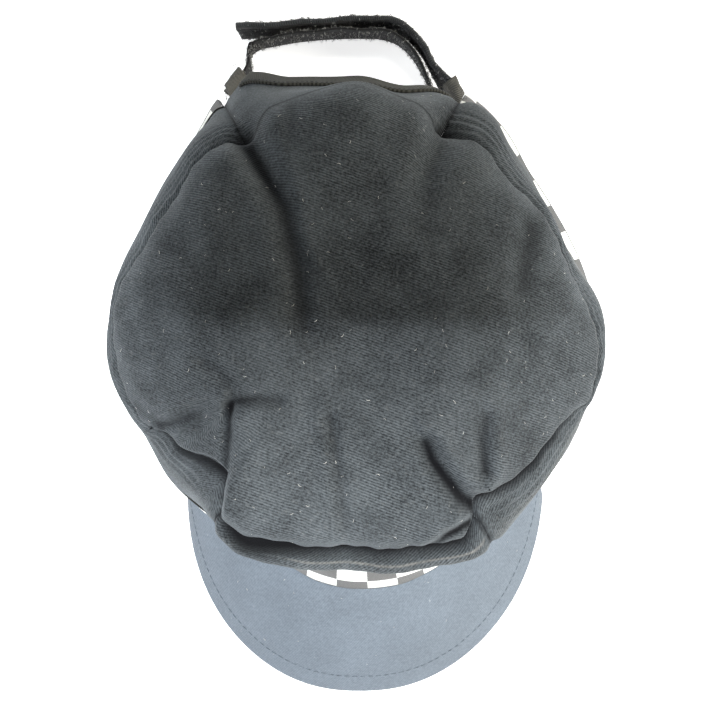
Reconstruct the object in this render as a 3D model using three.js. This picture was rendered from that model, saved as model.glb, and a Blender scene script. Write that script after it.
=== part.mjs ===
// Police cap: a soft four-panel crown on a chequered ribbon, with a pre-curved peak
// and a hook-and-loop strap behind. It lies on a table as it comes to rest: the rear
// rim is down, and the arched peak lifts the front.
// Millimetres and degrees. +Z is up, and the peak points along -Y. Angles go round the
// crown's own axis, from +X towards +Y, so 90 is the rear and 270 the front.
import * as THREE from 'three';

// Driving dimensions
const CLOTH = 1.4; // a crown panel with its backing
const RIBBON = 1.0; // the chequered ribbon
const GAP = 0.3; // clearance between neighbouring pieces
const CHECK_ROW = 12; // height of one row of checks, of which the ribbon has three
const CROWN_HEIGHT = 88; // middle of the top above the table
const DOME = { radius: 34, height: 87.5, tilt: 2.5 }; // ring half way out on the top, higher in front
const PEAK_THICKNESS = 3.4;
const STRAP_HEIGHT = 18;
const STRAP_LEAN = { starts: 0.16, full: 0.34 }; // as shares of the route, counted in its points
const CENTRING = { x: -2.67, y: 6.85 }; // puts the origin under the middle of the whole cap

// The rear opening lies between the two rear seams, and the front panel between the front seams
const SEAM_ANGLE = { rearRight: 65.5, rearLeft: 118, frontLeft: 234, frontRight: 303 };

// Rim at the bottom of the walls, and how far the lowest row of checks leans in
const HEM = [
  { angle: 0, radius: 96.5, height: 0.6, lean: 6 },
  { angle: 12, radius: 94.5, height: 0, lean: 8 },
  { angle: 30, radius: 93, height: 0, lean: 8.5 },
  { angle: 42, radius: 94.3, height: 0, lean: 8.5 },
  { angle: 55, radius: 101.3, height: 0, lean: 8 },
  { angle: 65.5, radius: 105, height: 0, lean: 5 },
  { angle: 92, radius: 105, height: 0, lean: 4 },
  { angle: 118, radius: 109, height: 0, lean: 8 },
  { angle: 126, radius: 104.5, height: 0, lean: 8 },
  { angle: 135, radius: 97.5, height: 0, lean: 4 },
  { angle: 145, radius: 93, height: 0, lean: 3 },
  { angle: 165, radius: 91, height: 0, lean: 2 },
  { angle: 182, radius: 91, height: 0, lean: 2 },
  { angle: 196, radius: 90, height: 3, lean: 2 },
  { angle: 210, radius: 88, height: 8, lean: 2 },
  { angle: 225, radius: 85.2, height: 16, lean: 2 },
  { angle: 240, radius: 84.2, height: 27, lean: 3 },
  { angle: 250, radius: 83.6, height: 33, lean: 4 },
  { angle: 255, radius: 84.6, height: 35.5, lean: 5 },
  { angle: 262, radius: 87.1, height: 37.4, lean: 6.5 },
  { angle: 270, radius: 88.5, height: 38, lean: 6.5 },
  { angle: 279, radius: 88.8, height: 37, lean: 6.5 },
  { angle: 287, radius: 87.6, height: 34.5, lean: 5.5 },
  { angle: 294, radius: 86.4, height: 31, lean: 4.5 },
  { angle: 300, radius: 86.4, height: 27, lean: 4 },
  { angle: 315, radius: 88.5, height: 16, lean: 2 },
  { angle: 330, radius: 91.5, height: 8, lean: 2 },
  { angle: 346, radius: 94.5, height: 3, lean: 3 },
];

// Top edge of the ribbon, which is also the widest line of the soft walls
const BAND_TOP = [
  { angle: 0, radius: 85.5, height: 35 },
  { angle: 15, radius: 81.5, height: 33.5 },
  { angle: 30, radius: 79.5, height: 33 },
  { angle: 50, radius: 83.5, height: 33 },
  { angle: 64, radius: 88.5, height: 33 },
  { angle: 72, radius: 91, height: 33 },
  { angle: 79, radius: 89.5, height: 33 },
  { angle: 90, radius: 91, height: 33 },
  { angle: 99, radius: 94, height: 33 },
  { angle: 106, radius: 97.5, height: 33 },
  { angle: 112, radius: 98, height: 33 },
  { angle: 118, radius: 95, height: 33 },
  { angle: 126, radius: 90, height: 33 },
  { angle: 135, radius: 86, height: 33 },
  { angle: 150, radius: 82, height: 33 },
  { angle: 165, radius: 83, height: 34 },
  { angle: 180, radius: 85, height: 35 },
  { angle: 198, radius: 82.3, height: 38 },
  { angle: 209.5, radius: 80.8, height: 42 },
  { angle: 222, radius: 79.3, height: 50 },
  { angle: 235, radius: 75.5, height: 57.5 },
  { angle: 250, radius: 71.5, height: 65.5 },
  { angle: 270, radius: 70.5, height: 69 },
  { angle: 288, radius: 72, height: 66 },
  { angle: 302, radius: 76, height: 59 },
  { angle: 312, radius: 79.5, height: 52 },
  { angle: 324, radius: 81.5, height: 46 },
  { angle: 340, radius: 84.5, height: 40 },
];

// Soft roll that the cloth makes in the upper part of the walls
const ROLL = [
  { angle: 0, radius: 82, height: 54 },
  { angle: 17, radius: 76, height: 54 },
  { angle: 43, radius: 75.2, height: 55 },
  { angle: 50, radius: 77, height: 55 },
  { angle: 56, radius: 80.5, height: 55 },
  { angle: 65.5, radius: 81.5, height: 55 },
  { angle: 72, radius: 80.8, height: 55 },
  { angle: 79, radius: 80, height: 56 },
  { angle: 90, radius: 80.3, height: 56 },
  { angle: 99, radius: 82, height: 56 },
  { angle: 106.5, radius: 83, height: 54 },
  { angle: 113, radius: 84, height: 52.5 },
  { angle: 118, radius: 82.5, height: 53 },
  { angle: 126, radius: 80.5, height: 54 },
  { angle: 135, radius: 79, height: 55 },
  { angle: 150, radius: 76.5, height: 54 },
  { angle: 180, radius: 80.5, height: 54 },
  { angle: 200, radius: 78.5, height: 55 },
  { angle: 210, radius: 73.5, height: 61 },
  { angle: 222, radius: 69.8, height: 73 },
  { angle: 229, radius: 68.5, height: 78 },
  { angle: 236, radius: 71.5, height: 81 },
  { angle: 246, radius: 72.3, height: 84 },
  { angle: 270, radius: 70, height: 84.5 },
  { angle: 288, radius: 73, height: 84 },
  { angle: 301, radius: 75.5, height: 80 },
  { angle: 310, radius: 75, height: 74 },
  { angle: 320, radius: 74.5, height: 69 },
  { angle: 333, radius: 76, height: 62 },
  { angle: 344, radius: 80.5, height: 56 },
];

// Edge of the top panel. Inset and rise place the crest that the top has inside its edge.
const TOP_EDGE = [
  { angle: 5, radius: 73.3, height: 67, inset: 9, rise: 9 },
  { angle: 17, radius: 69.7, height: 68, inset: 9, rise: 9 },
  { angle: 33, radius: 68, height: 69, inset: 9, rise: 8 },
  { angle: 44, radius: 66, height: 70, inset: 8, rise: 7 },
  { angle: 56, radius: 69.3, height: 70, inset: 8, rise: 7 },
  { angle: 65.5, radius: 67.5, height: 69, inset: 8, rise: 6 },
  { angle: 75, radius: 72, height: 71, inset: 9, rise: 8 },
  { angle: 92, radius: 74, height: 72, inset: 10, rise: 9 },
  { angle: 110, radius: 72, height: 71, inset: 9, rise: 8 },
  { angle: 118.5, radius: 67.5, height: 69, inset: 8, rise: 6 },
  { angle: 126, radius: 70.5, height: 70, inset: 9, rise: 8 },
  { angle: 142, radius: 69.4, height: 69, inset: 9, rise: 9 },
  { angle: 155, radius: 69, height: 68, inset: 9, rise: 9 },
  { angle: 169, radius: 73.5, height: 67, inset: 9, rise: 9 },
  { angle: 184, radius: 75, height: 66, inset: 9, rise: 9 },
  { angle: 202, radius: 73.4, height: 66, inset: 9, rise: 9 },
  { angle: 206, radius: 71.5, height: 66, inset: 8, rise: 8 },
  { angle: 209, radius: 66, height: 69, inset: 7, rise: 6 },
  { angle: 215, radius: 63, height: 74, inset: 7, rise: 5 },
  { angle: 220, radius: 58.7, height: 80, inset: 6, rise: 4 },
  { angle: 225, radius: 56.8, height: 83.5, inset: 6, rise: 3 },
  { angle: 229, radius: 56.6, height: 85, inset: 6, rise: 3 },
  { angle: 232, radius: 61.2, height: 85, inset: 5, rise: 5 },
  { angle: 236, radius: 67, height: 84.5, inset: 5, rise: 6 },
  { angle: 243, radius: 68.4, height: 84, inset: 5, rise: 7 },
  { angle: 257, radius: 65, height: 84.5, inset: 5, rise: 7 },
  { angle: 269, radius: 64, height: 85, inset: 5, rise: 7 },
  { angle: 282, radius: 65, height: 84.5, inset: 5, rise: 7 },
  { angle: 290, radius: 67.8, height: 84, inset: 5, rise: 7 },
  { angle: 296.5, radius: 69.2, height: 83.5, inset: 5, rise: 6.5 },
  { angle: 301, radius: 67, height: 83.5, inset: 5.5, rise: 5.5 },
  { angle: 305.5, radius: 61.4, height: 84, inset: 6, rise: 4 },
  { angle: 311, radius: 63.6, height: 82, inset: 6, rise: 5 },
  { angle: 319, radius: 66, height: 78, inset: 7, rise: 6 },
  { angle: 332, radius: 69.2, height: 72, inset: 8, rise: 7 },
  { angle: 339, radius: 73, height: 68, inset: 8, rise: 8 },
  { angle: 343, radius: 77, height: 66, inset: 9, rise: 9 },
  { angle: 355, radius: 76.5, height: 66, inset: 9, rise: 9 },
];

// Height of the edge of the rear opening, a half moon
const ARCH = [
  { angle: 65.5, height: 25 },
  { angle: 67.5, height: 27.5 },
  { angle: 70, height: 33 },
  { angle: 73.5, height: 40.5 },
  { angle: 79, height: 46 },
  { angle: 90, height: 48.5 },
  { angle: 104, height: 47 },
  { angle: 110.5, height: 40.5 },
  { angle: 114, height: 33 },
  { angle: 116.3, height: 27.5 },
  { angle: 118, height: 25 },
];

// Dents in the top panel, each along a straight line. A negative depth is a raised fold.
const FOLDS = [
  { name: 'left valley, rear part', x0: -34, y0: 58, x1: -25, y1: 42, width: 6, depth: 3 },
  { name: 'left valley, middle part', x0: -25, y0: 42, x1: -17, y1: 22, width: 6, depth: 2.5 },
  { name: 'left valley, front part', x0: -17, y0: 22, x1: -14, y1: 0, width: 6, depth: 1.6 },
  { name: 'front left crease', x0: -34, y0: -21, x1: -37, y1: -44, width: 5, depth: 3 },
  { name: 'front right dent', x0: 24, y0: -40, x1: 35, y1: -51, width: 5, depth: 3 },
  { name: 'front right swelling', x0: 42, y0: -26, x1: 47, y1: -38, width: 7, depth: -2 },
  { name: 'right dent', x0: 52, y0: 27, x1: 47, y1: 11, width: 7, depth: 1.8 },
  { name: 'middle sag', x0: -2, y0: -22, x1: 2, y1: 14, width: 22, depth: 2 },
];

// Groove that the cloth makes where two panels are sewn together
const TOP_GROOVE = { depth: 2.2, width: 2.6 };
const FRONT_GROOVE = { depth: 1.2, start: 224, end: 308 };
const WALL_GROOVE = { depth: 1.2, width: 3 };

// Peak in plan: a rounded arch from corner to corner, drooping from its root
const PEAK = {
  middle: 4.2,
  rear: -55,
  halfWidth: 70,
  length: 80.5,
  veer: 0.03,
  squareness: 2.3,
  tipHeight: 14,
  sideHeight: 3.4,
  rootLeft: 221,
  rootRight: 322,
  rimLeft: 184,
  rimRight: 356,
  tuck: 4.5,
  crown: 2.5,
  tipShare: 6,
};

// Straps as centre lines in plan, from the tab to the free end. Outside is the side away from the cap,
// and upright is where the lean ends.
const OUTER_STRAP = {
  thickness: 2,
  bottom: 2,
  lean: 3.1,
  upright: { from: 1, to: 1.2 },
  outside: 1,
  route: [
    { x: 37.4, y: 91.1 },
    { x: 36.4, y: 92.7 },
    { x: 35.3, y: 94.4 },
    { x: 33.6, y: 98 },
    { x: 31, y: 103.2 },
    { x: 26.9, y: 110.6 },
    { x: 21.4, y: 116.8 },
    { x: 14.8, y: 119.9 },
    { x: 4.9, y: 120.8 },
    { x: -5.7, y: 120 },
    { x: -17.4, y: 119.4 },
    { x: -25, y: 118.6 },
    { x: -44.5, y: 117.8 },
  ],
};
const INNER_STRAP = {
  thickness: 1.2,
  bottom: 1.5,
  lean: 4.3,
  upright: { from: 0.8, to: 0.95 },
  outside: -1,
  route: [
    { x: -45.4, y: 92.9 },
    { x: -43.4, y: 95.2 },
    { x: -41.5, y: 97.5 },
    { x: -40.6, y: 101.2 },
    { x: -41.8, y: 105.6 },
    { x: -41.6, y: 110.2 },
    { x: -38, y: 113.2 },
    { x: -30.8, y: 114.9 },
    { x: -20.3, y: 116.6 },
    { x: -8, y: 117.6 },
    { x: 2.6, y: 117.8 },
    { x: 10.5, y: 116.6 },
    { x: 15.4, y: 113.8 },
    { x: 19.8, y: 109 },
    { x: 24, y: 103.4 },
    { x: 27.4, y: 98.6 },
  ],
};

// Tabs over the fixed ends of the straps. The heading is the way that the strap leaves.
const TAB = { cloth: 1.2, bottom: 0.8, top: 22, clearance: 0.5 };
const TAB_LEFT = { strap: 1.6, x: -41.7, y: 97.3, heading: 50, wallAngle: 118 };
const TAB_RIGHT = { strap: 2, x: 35.3, y: 94.4, heading: 122.5, wallAngle: 65.5 };

const BINDING = { from: 70, to: 110, width: 7, tape: 0.9 };

// Places along a crown profile, from the middle of the top down to the rim
const AT = { middle: 0, halfway: 1, crest: 2, seam: 3, roll: 4, bandTop: 5, flare: 6, hem: 7 };

const radians = (degrees) => (degrees * Math.PI) / 180;

// A table of rows round the cap becomes a smooth closed function of the angle
function around(rows, column) {
  const count = rows.length;
  const turn = 360;
  const step = (i) => {
    const width = rows[(i + 1) % count].angle - rows[i % count].angle;
    return width > 0 ? width : width + turn;
  };
  const slope = (i) => (rows[(i + 1) % count][column] - rows[i % count][column]) / step(i);
  const tangent = rows.map((row, i) => {
    const before = slope((i + count - 1) % count);
    const after = slope(i);
    return before * after <= 0 ? 0 : (2 * before * after) / (before + after);
  });
  return (angle) => {
    const wrapped = ((angle % turn) + turn) % turn;
    let index = count - 1;
    for (let i = 0; i < count - 1; i += 1) {
      if (wrapped >= rows[i].angle && wrapped < rows[i + 1].angle) {
        index = i;
      }
    }
    const width = step(index);
    const along = ((wrapped - rows[index].angle + turn) % turn) / width;
    return hermite(
      rows[index][column],
      rows[(index + 1) % count][column],
      tangent[index] * width,
      tangent[(index + 1) % count] * width,
      along,
    );
  };
}

function hermite(start, end, startTangent, endTangent, along) {
  const square = along * along;
  const cube = square * along;
  return (
    start * (2 * cube - 3 * square + 1) +
    startTangent * (cube - 2 * square + along) +
    end * (3 * square - 2 * cube) +
    endTangent * (cube - square)
  );
}

const hem = { radius: around(HEM, 'radius'), height: around(HEM, 'height'), lean: around(HEM, 'lean') };
const bandTop = { radius: around(BAND_TOP, 'radius'), height: around(BAND_TOP, 'height') };
const roll = { radius: around(ROLL, 'radius'), height: around(ROLL, 'height') };
const topEdge = {
  radius: around(TOP_EDGE, 'radius'),
  height: around(TOP_EDGE, 'height'),
  inset: around(TOP_EDGE, 'inset'),
  rise: around(TOP_EDGE, 'rise'),
};
const archHeight = around(ARCH, 'height');

// The crown's section at one angle, as radius and height at the places named in AT
function section(angle) {
  const crestRadius = topEdge.radius(angle) - topEdge.inset(angle);
  const crestHeight = topEdge.height(angle) + topEdge.rise(angle);
  const halfwayHeight = DOME.height - DOME.tilt * Math.sin(radians(angle));
  const rim = hem.height(angle);
  return [
    new THREE.Vector2(0, CROWN_HEIGHT),
    new THREE.Vector2(DOME.radius, halfwayHeight),
    new THREE.Vector2(crestRadius, crestHeight),
    new THREE.Vector2(topEdge.radius(angle), topEdge.height(angle)),
    new THREE.Vector2(roll.radius(angle), roll.height(angle)),
    new THREE.Vector2(bandTop.radius(angle), bandTop.height(angle)),
    new THREE.Vector2(hem.radius(angle) - hem.lean(angle), rim + CHECK_ROW),
    new THREE.Vector2(hem.radius(angle), rim),
  ];
}

// A smooth curve through the section's points. Place 2.5 is half way from point 2 to point 3.
function sectionPoint(points, place) {
  const last = points.length - 1;
  const index = Math.min(Math.floor(place), last - 1);
  const pick = (i) => {
    if (i < 0) {
      return new THREE.Vector2(-points[1].x, points[1].y);
    }
    return i > last ? points[last].clone().multiplyScalar(2).sub(points[last - 1]) : points[i];
  };
  const knots = [-1, 0, 1, 2].map((offset) => pick(index + offset));
  const spans = [0, 1, 2].map((i) => Math.sqrt(knots[i].distanceTo(knots[i + 1])));
  const tangent = (i, axis) => {
    const before = (knots[i][axis] - knots[i - 1][axis]) / spans[i - 1];
    const after = (knots[i + 1][axis] - knots[i][axis]) / spans[i];
    return (before * spans[i] + after * spans[i - 1]) / (spans[i - 1] + spans[i]);
  };
  const value = (axis) =>
    hermite(knots[1][axis], knots[2][axis], tangent(1, axis) * spans[1], tangent(2, axis) * spans[1], place - index);
  return new THREE.Vector2(value('x'), value('y'));
}

function smoothStep(low, high, value) {
  return THREE.MathUtils.smoothstep(value, low, high);
}

// Depth of the sunk lines along the seams at a place on the crown
function grooveDepth(angle, place, points, radius) {
  const edge = 3;
  const turned = ((angle % 360) + 360) % 360;
  const seamed = 1 - smoothStep(SEAM_ANGLE.rearRight, SEAM_ANGLE.rearRight + edge, turned) *
    (1 - smoothStep(SEAM_ANGLE.rearLeft - edge, SEAM_ANGLE.rearLeft, turned));
  const front = smoothStep(FRONT_GROOVE.start, FRONT_GROOVE.start + edge, turned) *
    (1 - smoothStep(FRONT_GROOVE.end - edge, FRONT_GROOVE.end, turned));
  const nextPoint = place < AT.seam ? AT.crest : AT.roll;
  const away = Math.abs(place - AT.seam) * points[AT.seam].distanceTo(points[nextPoint]);
  const nearTop = Math.exp(-((away / TOP_GROOVE.width) ** 2));
  let depth = seamed * (TOP_GROOVE.depth + front * FRONT_GROOVE.depth) * nearTop;
  const belowTop = smoothStep(AT.seam, AT.roll, place) * (1 - smoothStep(AT.bandTop, AT.flare, place));
  for (const seam of Object.values(SEAM_ANGLE)) {
    const across = radians(turned - seam) * radius;
    depth += WALL_GROOVE.depth * belowTop * Math.exp(-((across / WALL_GROOVE.width) ** 2));
  }
  return depth;
}

// How far the dents lower the top panel at a point in plan
function foldDepth(x, y) {
  let depth = 0;
  for (const fold of FOLDS) {
    const start = new THREE.Vector2(fold.x0, fold.y0);
    const run = new THREE.Vector2(fold.x1, fold.y1).sub(start);
    const toPoint = new THREE.Vector2(x, y).sub(start);
    const along = THREE.MathUtils.clamp(toPoint.dot(run) / run.lengthSq(), 0, 1);
    const away = toPoint.sub(run.multiplyScalar(along)).length();
    depth += fold.depth * Math.exp(-((away / fold.width) ** 2));
  }
  return depth;
}

// The crown's outer face before the seams sink into it
function plainCrown(angle, place) {
  const flat = sectionPoint(section(angle), place);
  const x = flat.x * Math.cos(radians(angle));
  const y = flat.x * Math.sin(radians(angle));
  const onTop = 1 - smoothStep(AT.crest, AT.seam, place);
  return new THREE.Vector3(x, y, flat.y - onTop * foldDepth(x, y));
}

function normalOf(surface, angle, place) {
  const turnStep = 0.4;
  const placeStep = 0.02;
  const low = Math.max(place - placeStep, placeStep);
  const high = Math.min(place + placeStep, AT.hem);
  const down = surface(angle, high).sub(surface(angle, low));
  const round = surface(angle + turnStep, Math.max(place, placeStep));
  round.sub(surface(angle - turnStep, Math.max(place, placeStep)));
  return down.cross(round).normalize();
}

function groovedCrown(angle, place) {
  const point = plainCrown(angle, place);
  const radius = Math.hypot(point.x, point.y);
  const depth = grooveDepth(angle, place, section(angle), radius);
  return point.addScaledVector(normalOf(plainCrown, angle, place), -depth);
}

// A point on the crown, so far outside its outer face. The rim's faces stay level.
function crownPoint(angle, place, outside) {
  const normal = place <= 0 ? new THREE.Vector3(0, 0, 1) : normalOf(groovedCrown, angle, place);
  if (place >= AT.hem) {
    normal.setZ(0).normalize();
  }
  return groovedCrown(angle, place).addScaledVector(normal, outside);
}

// Place on the wall at which it reaches a height
function placeAtHeight(angle, height) {
  let low = AT.seam;
  let high = AT.hem;
  const halvings = 30;
  for (let i = 0; i < halvings; i += 1) {
    const middle = (low + high) / 2;
    if (groovedCrown(angle, middle).z > height) {
      low = middle;
    } else {
      high = middle;
    }
  }
  return (low + high) / 2;
}

// Angles of the grid's columns, closer together where the top's edge turns
const COLUMN_RUNS = [
  { from: 65.5, to: 118, count: 16 },
  { from: 118, to: 205, count: 20 },
  { from: 205, to: 228, count: 8 },
  { from: 228, to: 234, count: 4 },
  { from: 234, to: 298, count: 20 },
  { from: 298, to: 303, count: 5 },
  { from: 303, to: 307, count: 3 },
  { from: 307, to: 345, count: 11 },
  { from: 345, to: 425.5, count: 19 },
];
const SEAM_SLIT = 0.23; // half the slit along an upright seam, in degrees

function columnsBetween(from, to) {
  const angles = [from + SEAM_SLIT];
  for (const run of COLUMN_RUNS) {
    for (let i = 0; i < run.count; i += 1) {
      const angle = run.from + ((run.to - run.from) * i) / run.count;
      if (angle > from + 1 && angle < to - 1) {
        angles.push(angle);
      }
    }
  }
  angles.push(to - SEAM_SLIT);
  return angles;
}

// One closed body from lists of points and faces. Its faces are turned to point outwards.
function meshOf(name, points, triangles, look) {
  const volume = triangles.reduce(
    (sum, [a, b, c]) => sum + points[a].dot(points[b].clone().cross(points[c])),
    0,
  );
  const facing = volume < 0 ? triangles.map(([a, b, c]) => [a, c, b]) : triangles;
  const geometry = new THREE.BufferGeometry();
  const coordinates = points.flatMap((point) => [point.x, point.y, point.z]);
  geometry.setAttribute('position', new THREE.Float32BufferAttribute(coordinates, 3));
  geometry.setIndex(facing.flat());
  geometry.computeVertexNormals();
  const mesh = new THREE.Mesh(geometry, new THREE.MeshStandardMaterial(look));
  mesh.name = name;
  return mesh;
}

// Two matching layers of points and the faces of the outer one become a closed wall
function wall(name, outer, inner, faces, look) {
  const triangles = [];
  const open = new Map();
  for (const face of faces) {
    for (let i = 1; i < face.length - 1; i += 1) {
      triangles.push([face[0], face[i], face[i + 1]]);
      triangles.push([face[0] + outer.length, face[i + 1] + outer.length, face[i] + outer.length]);
    }
    face.forEach((from, i) => {
      const to = face[(i + 1) % face.length];
      if (!open.delete(`${to} ${from}`)) {
        open.set(`${from} ${to}`, [from, to]);
      }
    });
  }
  for (const [from, to] of open.values()) {
    triangles.push([from, from + outer.length, to + outer.length]);
    triangles.push([from, to + outer.length, to]);
  }
  return meshOf(name, [...outer, ...inner], triangles, look);
}

// A rectangular sheet of points, given as columns of rows, with its faces
function gridFaces(columns, rows) {
  const faces = [];
  for (let c = 0; c < columns - 1; c += 1) {
    for (let r = 0; r < rows - 1; r += 1) {
      const corner = c * rows + r;
      faces.push([corner, corner + 1, corner + rows + 1, corner + rows]);
    }
  }
  return faces;
}

function sheet(name, columns, rows, pointAt, look) {
  const layer = (side) => columns.flatMap((column) => rows.map((row) => pointAt(column, row, side)));
  return wall(name, layer('outer'), layer('inner'), gridFaces(columns.length, rows.length), look);
}

// Places just above and just below the slit between the top panel and the walls
function seamSide(angle, below) {
  const points = section(angle);
  const next = below ? AT.roll : AT.crest;
  const share = GAP / points[AT.seam].distanceTo(points[next]);
  return AT.seam + (below ? share : -share);
}

const LOOK = {
  crown: { color: 0x2b2f33, roughness: 0.95, metalness: 0 },
  peak: { color: 0x5b6570, roughness: 0.9, metalness: 0 },
  ribbon: { color: 0xd8d8d4, roughness: 0.85, metalness: 0 },
  binding: { color: 0x4c4a45, roughness: 0.9, metalness: 0 },
  pile: { color: 0x151617, roughness: 1, metalness: 0 },
  hook: { color: 0x3a3b3c, roughness: 0.8, metalness: 0 },
};

// Top panel: a disc of rings, with a flap that runs down the back to the opening
function buildTopPanel() {
  const sides = columnsBetween(SEAM_ANGLE.rearLeft - 2 * SEAM_SLIT, SEAM_ANGLE.rearRight + 360 + 2 * SEAM_SLIT);
  const back = columnsBetween(SEAM_ANGLE.rearRight, SEAM_ANGLE.rearLeft);
  const columns = [...back, ...sides.slice(1, -1)];
  const ringPlaces = [0.5, 1, 1.4, 1.75, 2, 2.35, 2.7];
  const flapRows = 5;
  const places = [{ angle: 0, place: 0 }];
  for (const angle of columns) {
    for (const place of [...ringPlaces, seamSide(angle, false)]) {
      places.push({ angle, place });
    }
  }
  const rings = ringPlaces.length + 1;
  const discIndex = (column, ring) => 1 + (column % columns.length) * rings + ring;
  const faces = [];
  for (let c = 0; c < columns.length; c += 1) {
    faces.push([0, discIndex(c, 0), discIndex(c + 1, 0)]);
    for (let r = 0; r < rings - 1; r += 1) {
      faces.push([discIndex(c, r), discIndex(c, r + 1), discIndex(c + 1, r + 1), discIndex(c + 1, r)]);
    }
  }
  const flapStart = places.length;
  for (const angle of back) {
    const top = seamSide(angle, false);
    const bottom = placeAtHeight(angle, archHeight(angle));
    for (let r = 1; r <= flapRows; r += 1) {
      places.push({ angle, place: top + ((bottom - top) * r) / flapRows });
    }
  }
  const flapIndex = (column, row) =>
    row === 0 ? discIndex(column, rings - 1) : flapStart + column * flapRows + row - 1;
  for (let c = 0; c < back.length - 1; c += 1) {
    for (let r = 0; r < flapRows; r += 1) {
      faces.push([flapIndex(c, r), flapIndex(c, r + 1), flapIndex(c + 1, r + 1), flapIndex(c + 1, r)]);
    }
  }
  const layer = (outside) => places.map(({ angle, place }) => crownPoint(angle, place, outside));
  return wall('top_panel', layer(0), layer(-CLOTH), faces, LOOK.crown);
}

// A wall panel between two upright seams, from the top's edge to the rim
function buildWallPanel(name, from, to) {
  const rows = [0, 0.2, 0.5, 1, 1.5, 2, 2.5, 3, 4];
  return sheet(
    name,
    columnsBetween(from, to),
    rows,
    (angle, row, side) => {
      const place = row === 0 ? seamSide(angle, true) : AT.seam + row;
      return crownPoint(angle, place, side === 'outer' ? 0 : -CLOTH);
    },
    LOOK.crown,
  );
}

// The ribbon lies on the outside of the three wall panels, from one rear seam to the other
function buildChequeredBand() {
  const rows = [AT.bandTop, (AT.bandTop + AT.flare) / 2, AT.flare, AT.hem];
  return sheet(
    'chequered_band',
    columnsBetween(SEAM_ANGLE.rearLeft, SEAM_ANGLE.rearRight + 360),
    rows,
    (angle, place, side) => crownPoint(angle, place, side === 'outer' ? GAP + RIBBON : GAP),
    LOOK.ribbon,
  );
}

// Peak: its root is tucked under the rim, and its outline is a rounded arch in plan
function peakPoint(across, along, depth) {
  const rootAngle = THREE.MathUtils.lerp(PEAK.rootLeft, PEAK.rootRight, across);
  const rimAngle = radians(THREE.MathUtils.lerp(PEAK.rimLeft, PEAK.rimRight, across));
  const power = 2 / PEAK.squareness;
  const sideways = Math.cos(rimAngle);
  const forward = Math.abs(Math.sin(rimAngle));
  const reach = PEAK.length * forward ** power;
  const rim = new THREE.Vector3(
    PEAK.middle + PEAK.halfWidth * Math.sign(sideways) * Math.abs(sideways) ** power - PEAK.veer * reach,
    PEAK.rear - reach,
    PEAK.sideHeight + (PEAK.tipHeight - PEAK.sideHeight) * forward ** PEAK.tipShare,
  );
  const rootRadius = hem.radius(rootAngle);
  const ray = new THREE.Vector3(Math.cos(radians(rootAngle)), Math.sin(radians(rootAngle)), 0);
  const level = hem.height(rootAngle) - GAP;
  if (along <= 0) {
    const root = ray.multiplyScalar(rootRadius + RIBBON + 2 * GAP + along * PEAK.tuck);
    return root.setZ(level - depth);
  }
  const root = ray.multiplyScalar(rootRadius + RIBBON + 2 * GAP).setZ(level);
  const swell = PEAK.crown * Math.sin(Math.PI * along) * forward;
  const point = root.lerp(rim, along);
  point.z += swell;
  return point.setZ(point.z - depth);
}

function buildPeak() {
  const across = Array.from({ length: 33 }, (_, i) => i / 32);
  const along = [-1, 0, 0.12, 0.35, 0.6, 0.82, 1];
  return sheet(
    'peak',
    across,
    along,
    (u, v, side) => peakPoint(u, v, side === 'outer' ? 0 : PEAK_THICKNESS),
    LOOK.peak,
  );
}

// A point so far in from the opening's edge, measured square to the edge along the cloth
function bindingPoint(angle, inward, outside) {
  const place = placeAtHeight(angle, archHeight(angle));
  const edge = edgePoint(angle);
  const turnStep = 0.5;
  const placeStep = 0.05;
  const along = edgePoint(angle + turnStep).sub(edgePoint(angle - turnStep)).normalize();
  const normal = normalOf(groovedCrown, angle, place);
  const square = along.clone().cross(normal).normalize();
  if (square.z < 0) {
    square.negate();
  }
  if (inward < 0) {
    return edge.addScaledVector(square, inward).addScaledVector(normal, outside);
  }
  const byPlace = groovedCrown(angle, place).sub(groovedCrown(angle, place - placeStep));
  byPlace.divideScalar(placeStep);
  const byAngle = groovedCrown(angle + turnStep, place).sub(groovedCrown(angle - turnStep, place));
  byAngle.divideScalar(2 * turnStep);
  const mixed = byAngle.dot(byPlace);
  const whole = byAngle.lengthSq() * byPlace.lengthSq() - mixed ** 2;
  const turn = (byAngle.dot(square) * byPlace.lengthSq() - byPlace.dot(square) * mixed) / whole;
  const shift = (byPlace.dot(square) * byAngle.lengthSq() - byAngle.dot(square) * mixed) / whole;
  return crownPoint(angle + turn * inward, place + shift * inward, outside);
}

function edgePoint(angle) {
  return groovedCrown(angle, placeAtHeight(angle, archHeight(angle)));
}

// Binding: a tape folded over the opening's edge, with one leg on each face of the cloth
function buildArchBinding() {
  const near = 1.5 * GAP;
  const far = near + BINDING.tape;
  const half = BINDING.width / 2;
  const fold = [
    { outer: [BINDING.width, far], inner: [BINDING.width, near] },
    { outer: [half, far], inner: [half, near] },
    { outer: [0, far], inner: [0, near] },
    { outer: [-far, near], inner: [-near, near] },
    { outer: [-far, -CLOTH - near], inner: [-near, -CLOTH - near] },
    { outer: [0, -CLOTH - far], inner: [0, -CLOTH - near] },
    { outer: [half, -CLOTH - far], inner: [half, -CLOTH - near] },
    { outer: [BINDING.width, -CLOTH - far], inner: [BINDING.width, -CLOTH - near] },
  ];
  const stations = 24;
  const angles = Array.from({ length: stations }, (_, i) =>
    THREE.MathUtils.lerp(BINDING.to, BINDING.from, i / (stations - 1)),
  );
  return sheet('arch_binding', angles, fold, (angle, row, side) => bindingPoint(angle, ...row[side]), LOOK.binding);
}

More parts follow.
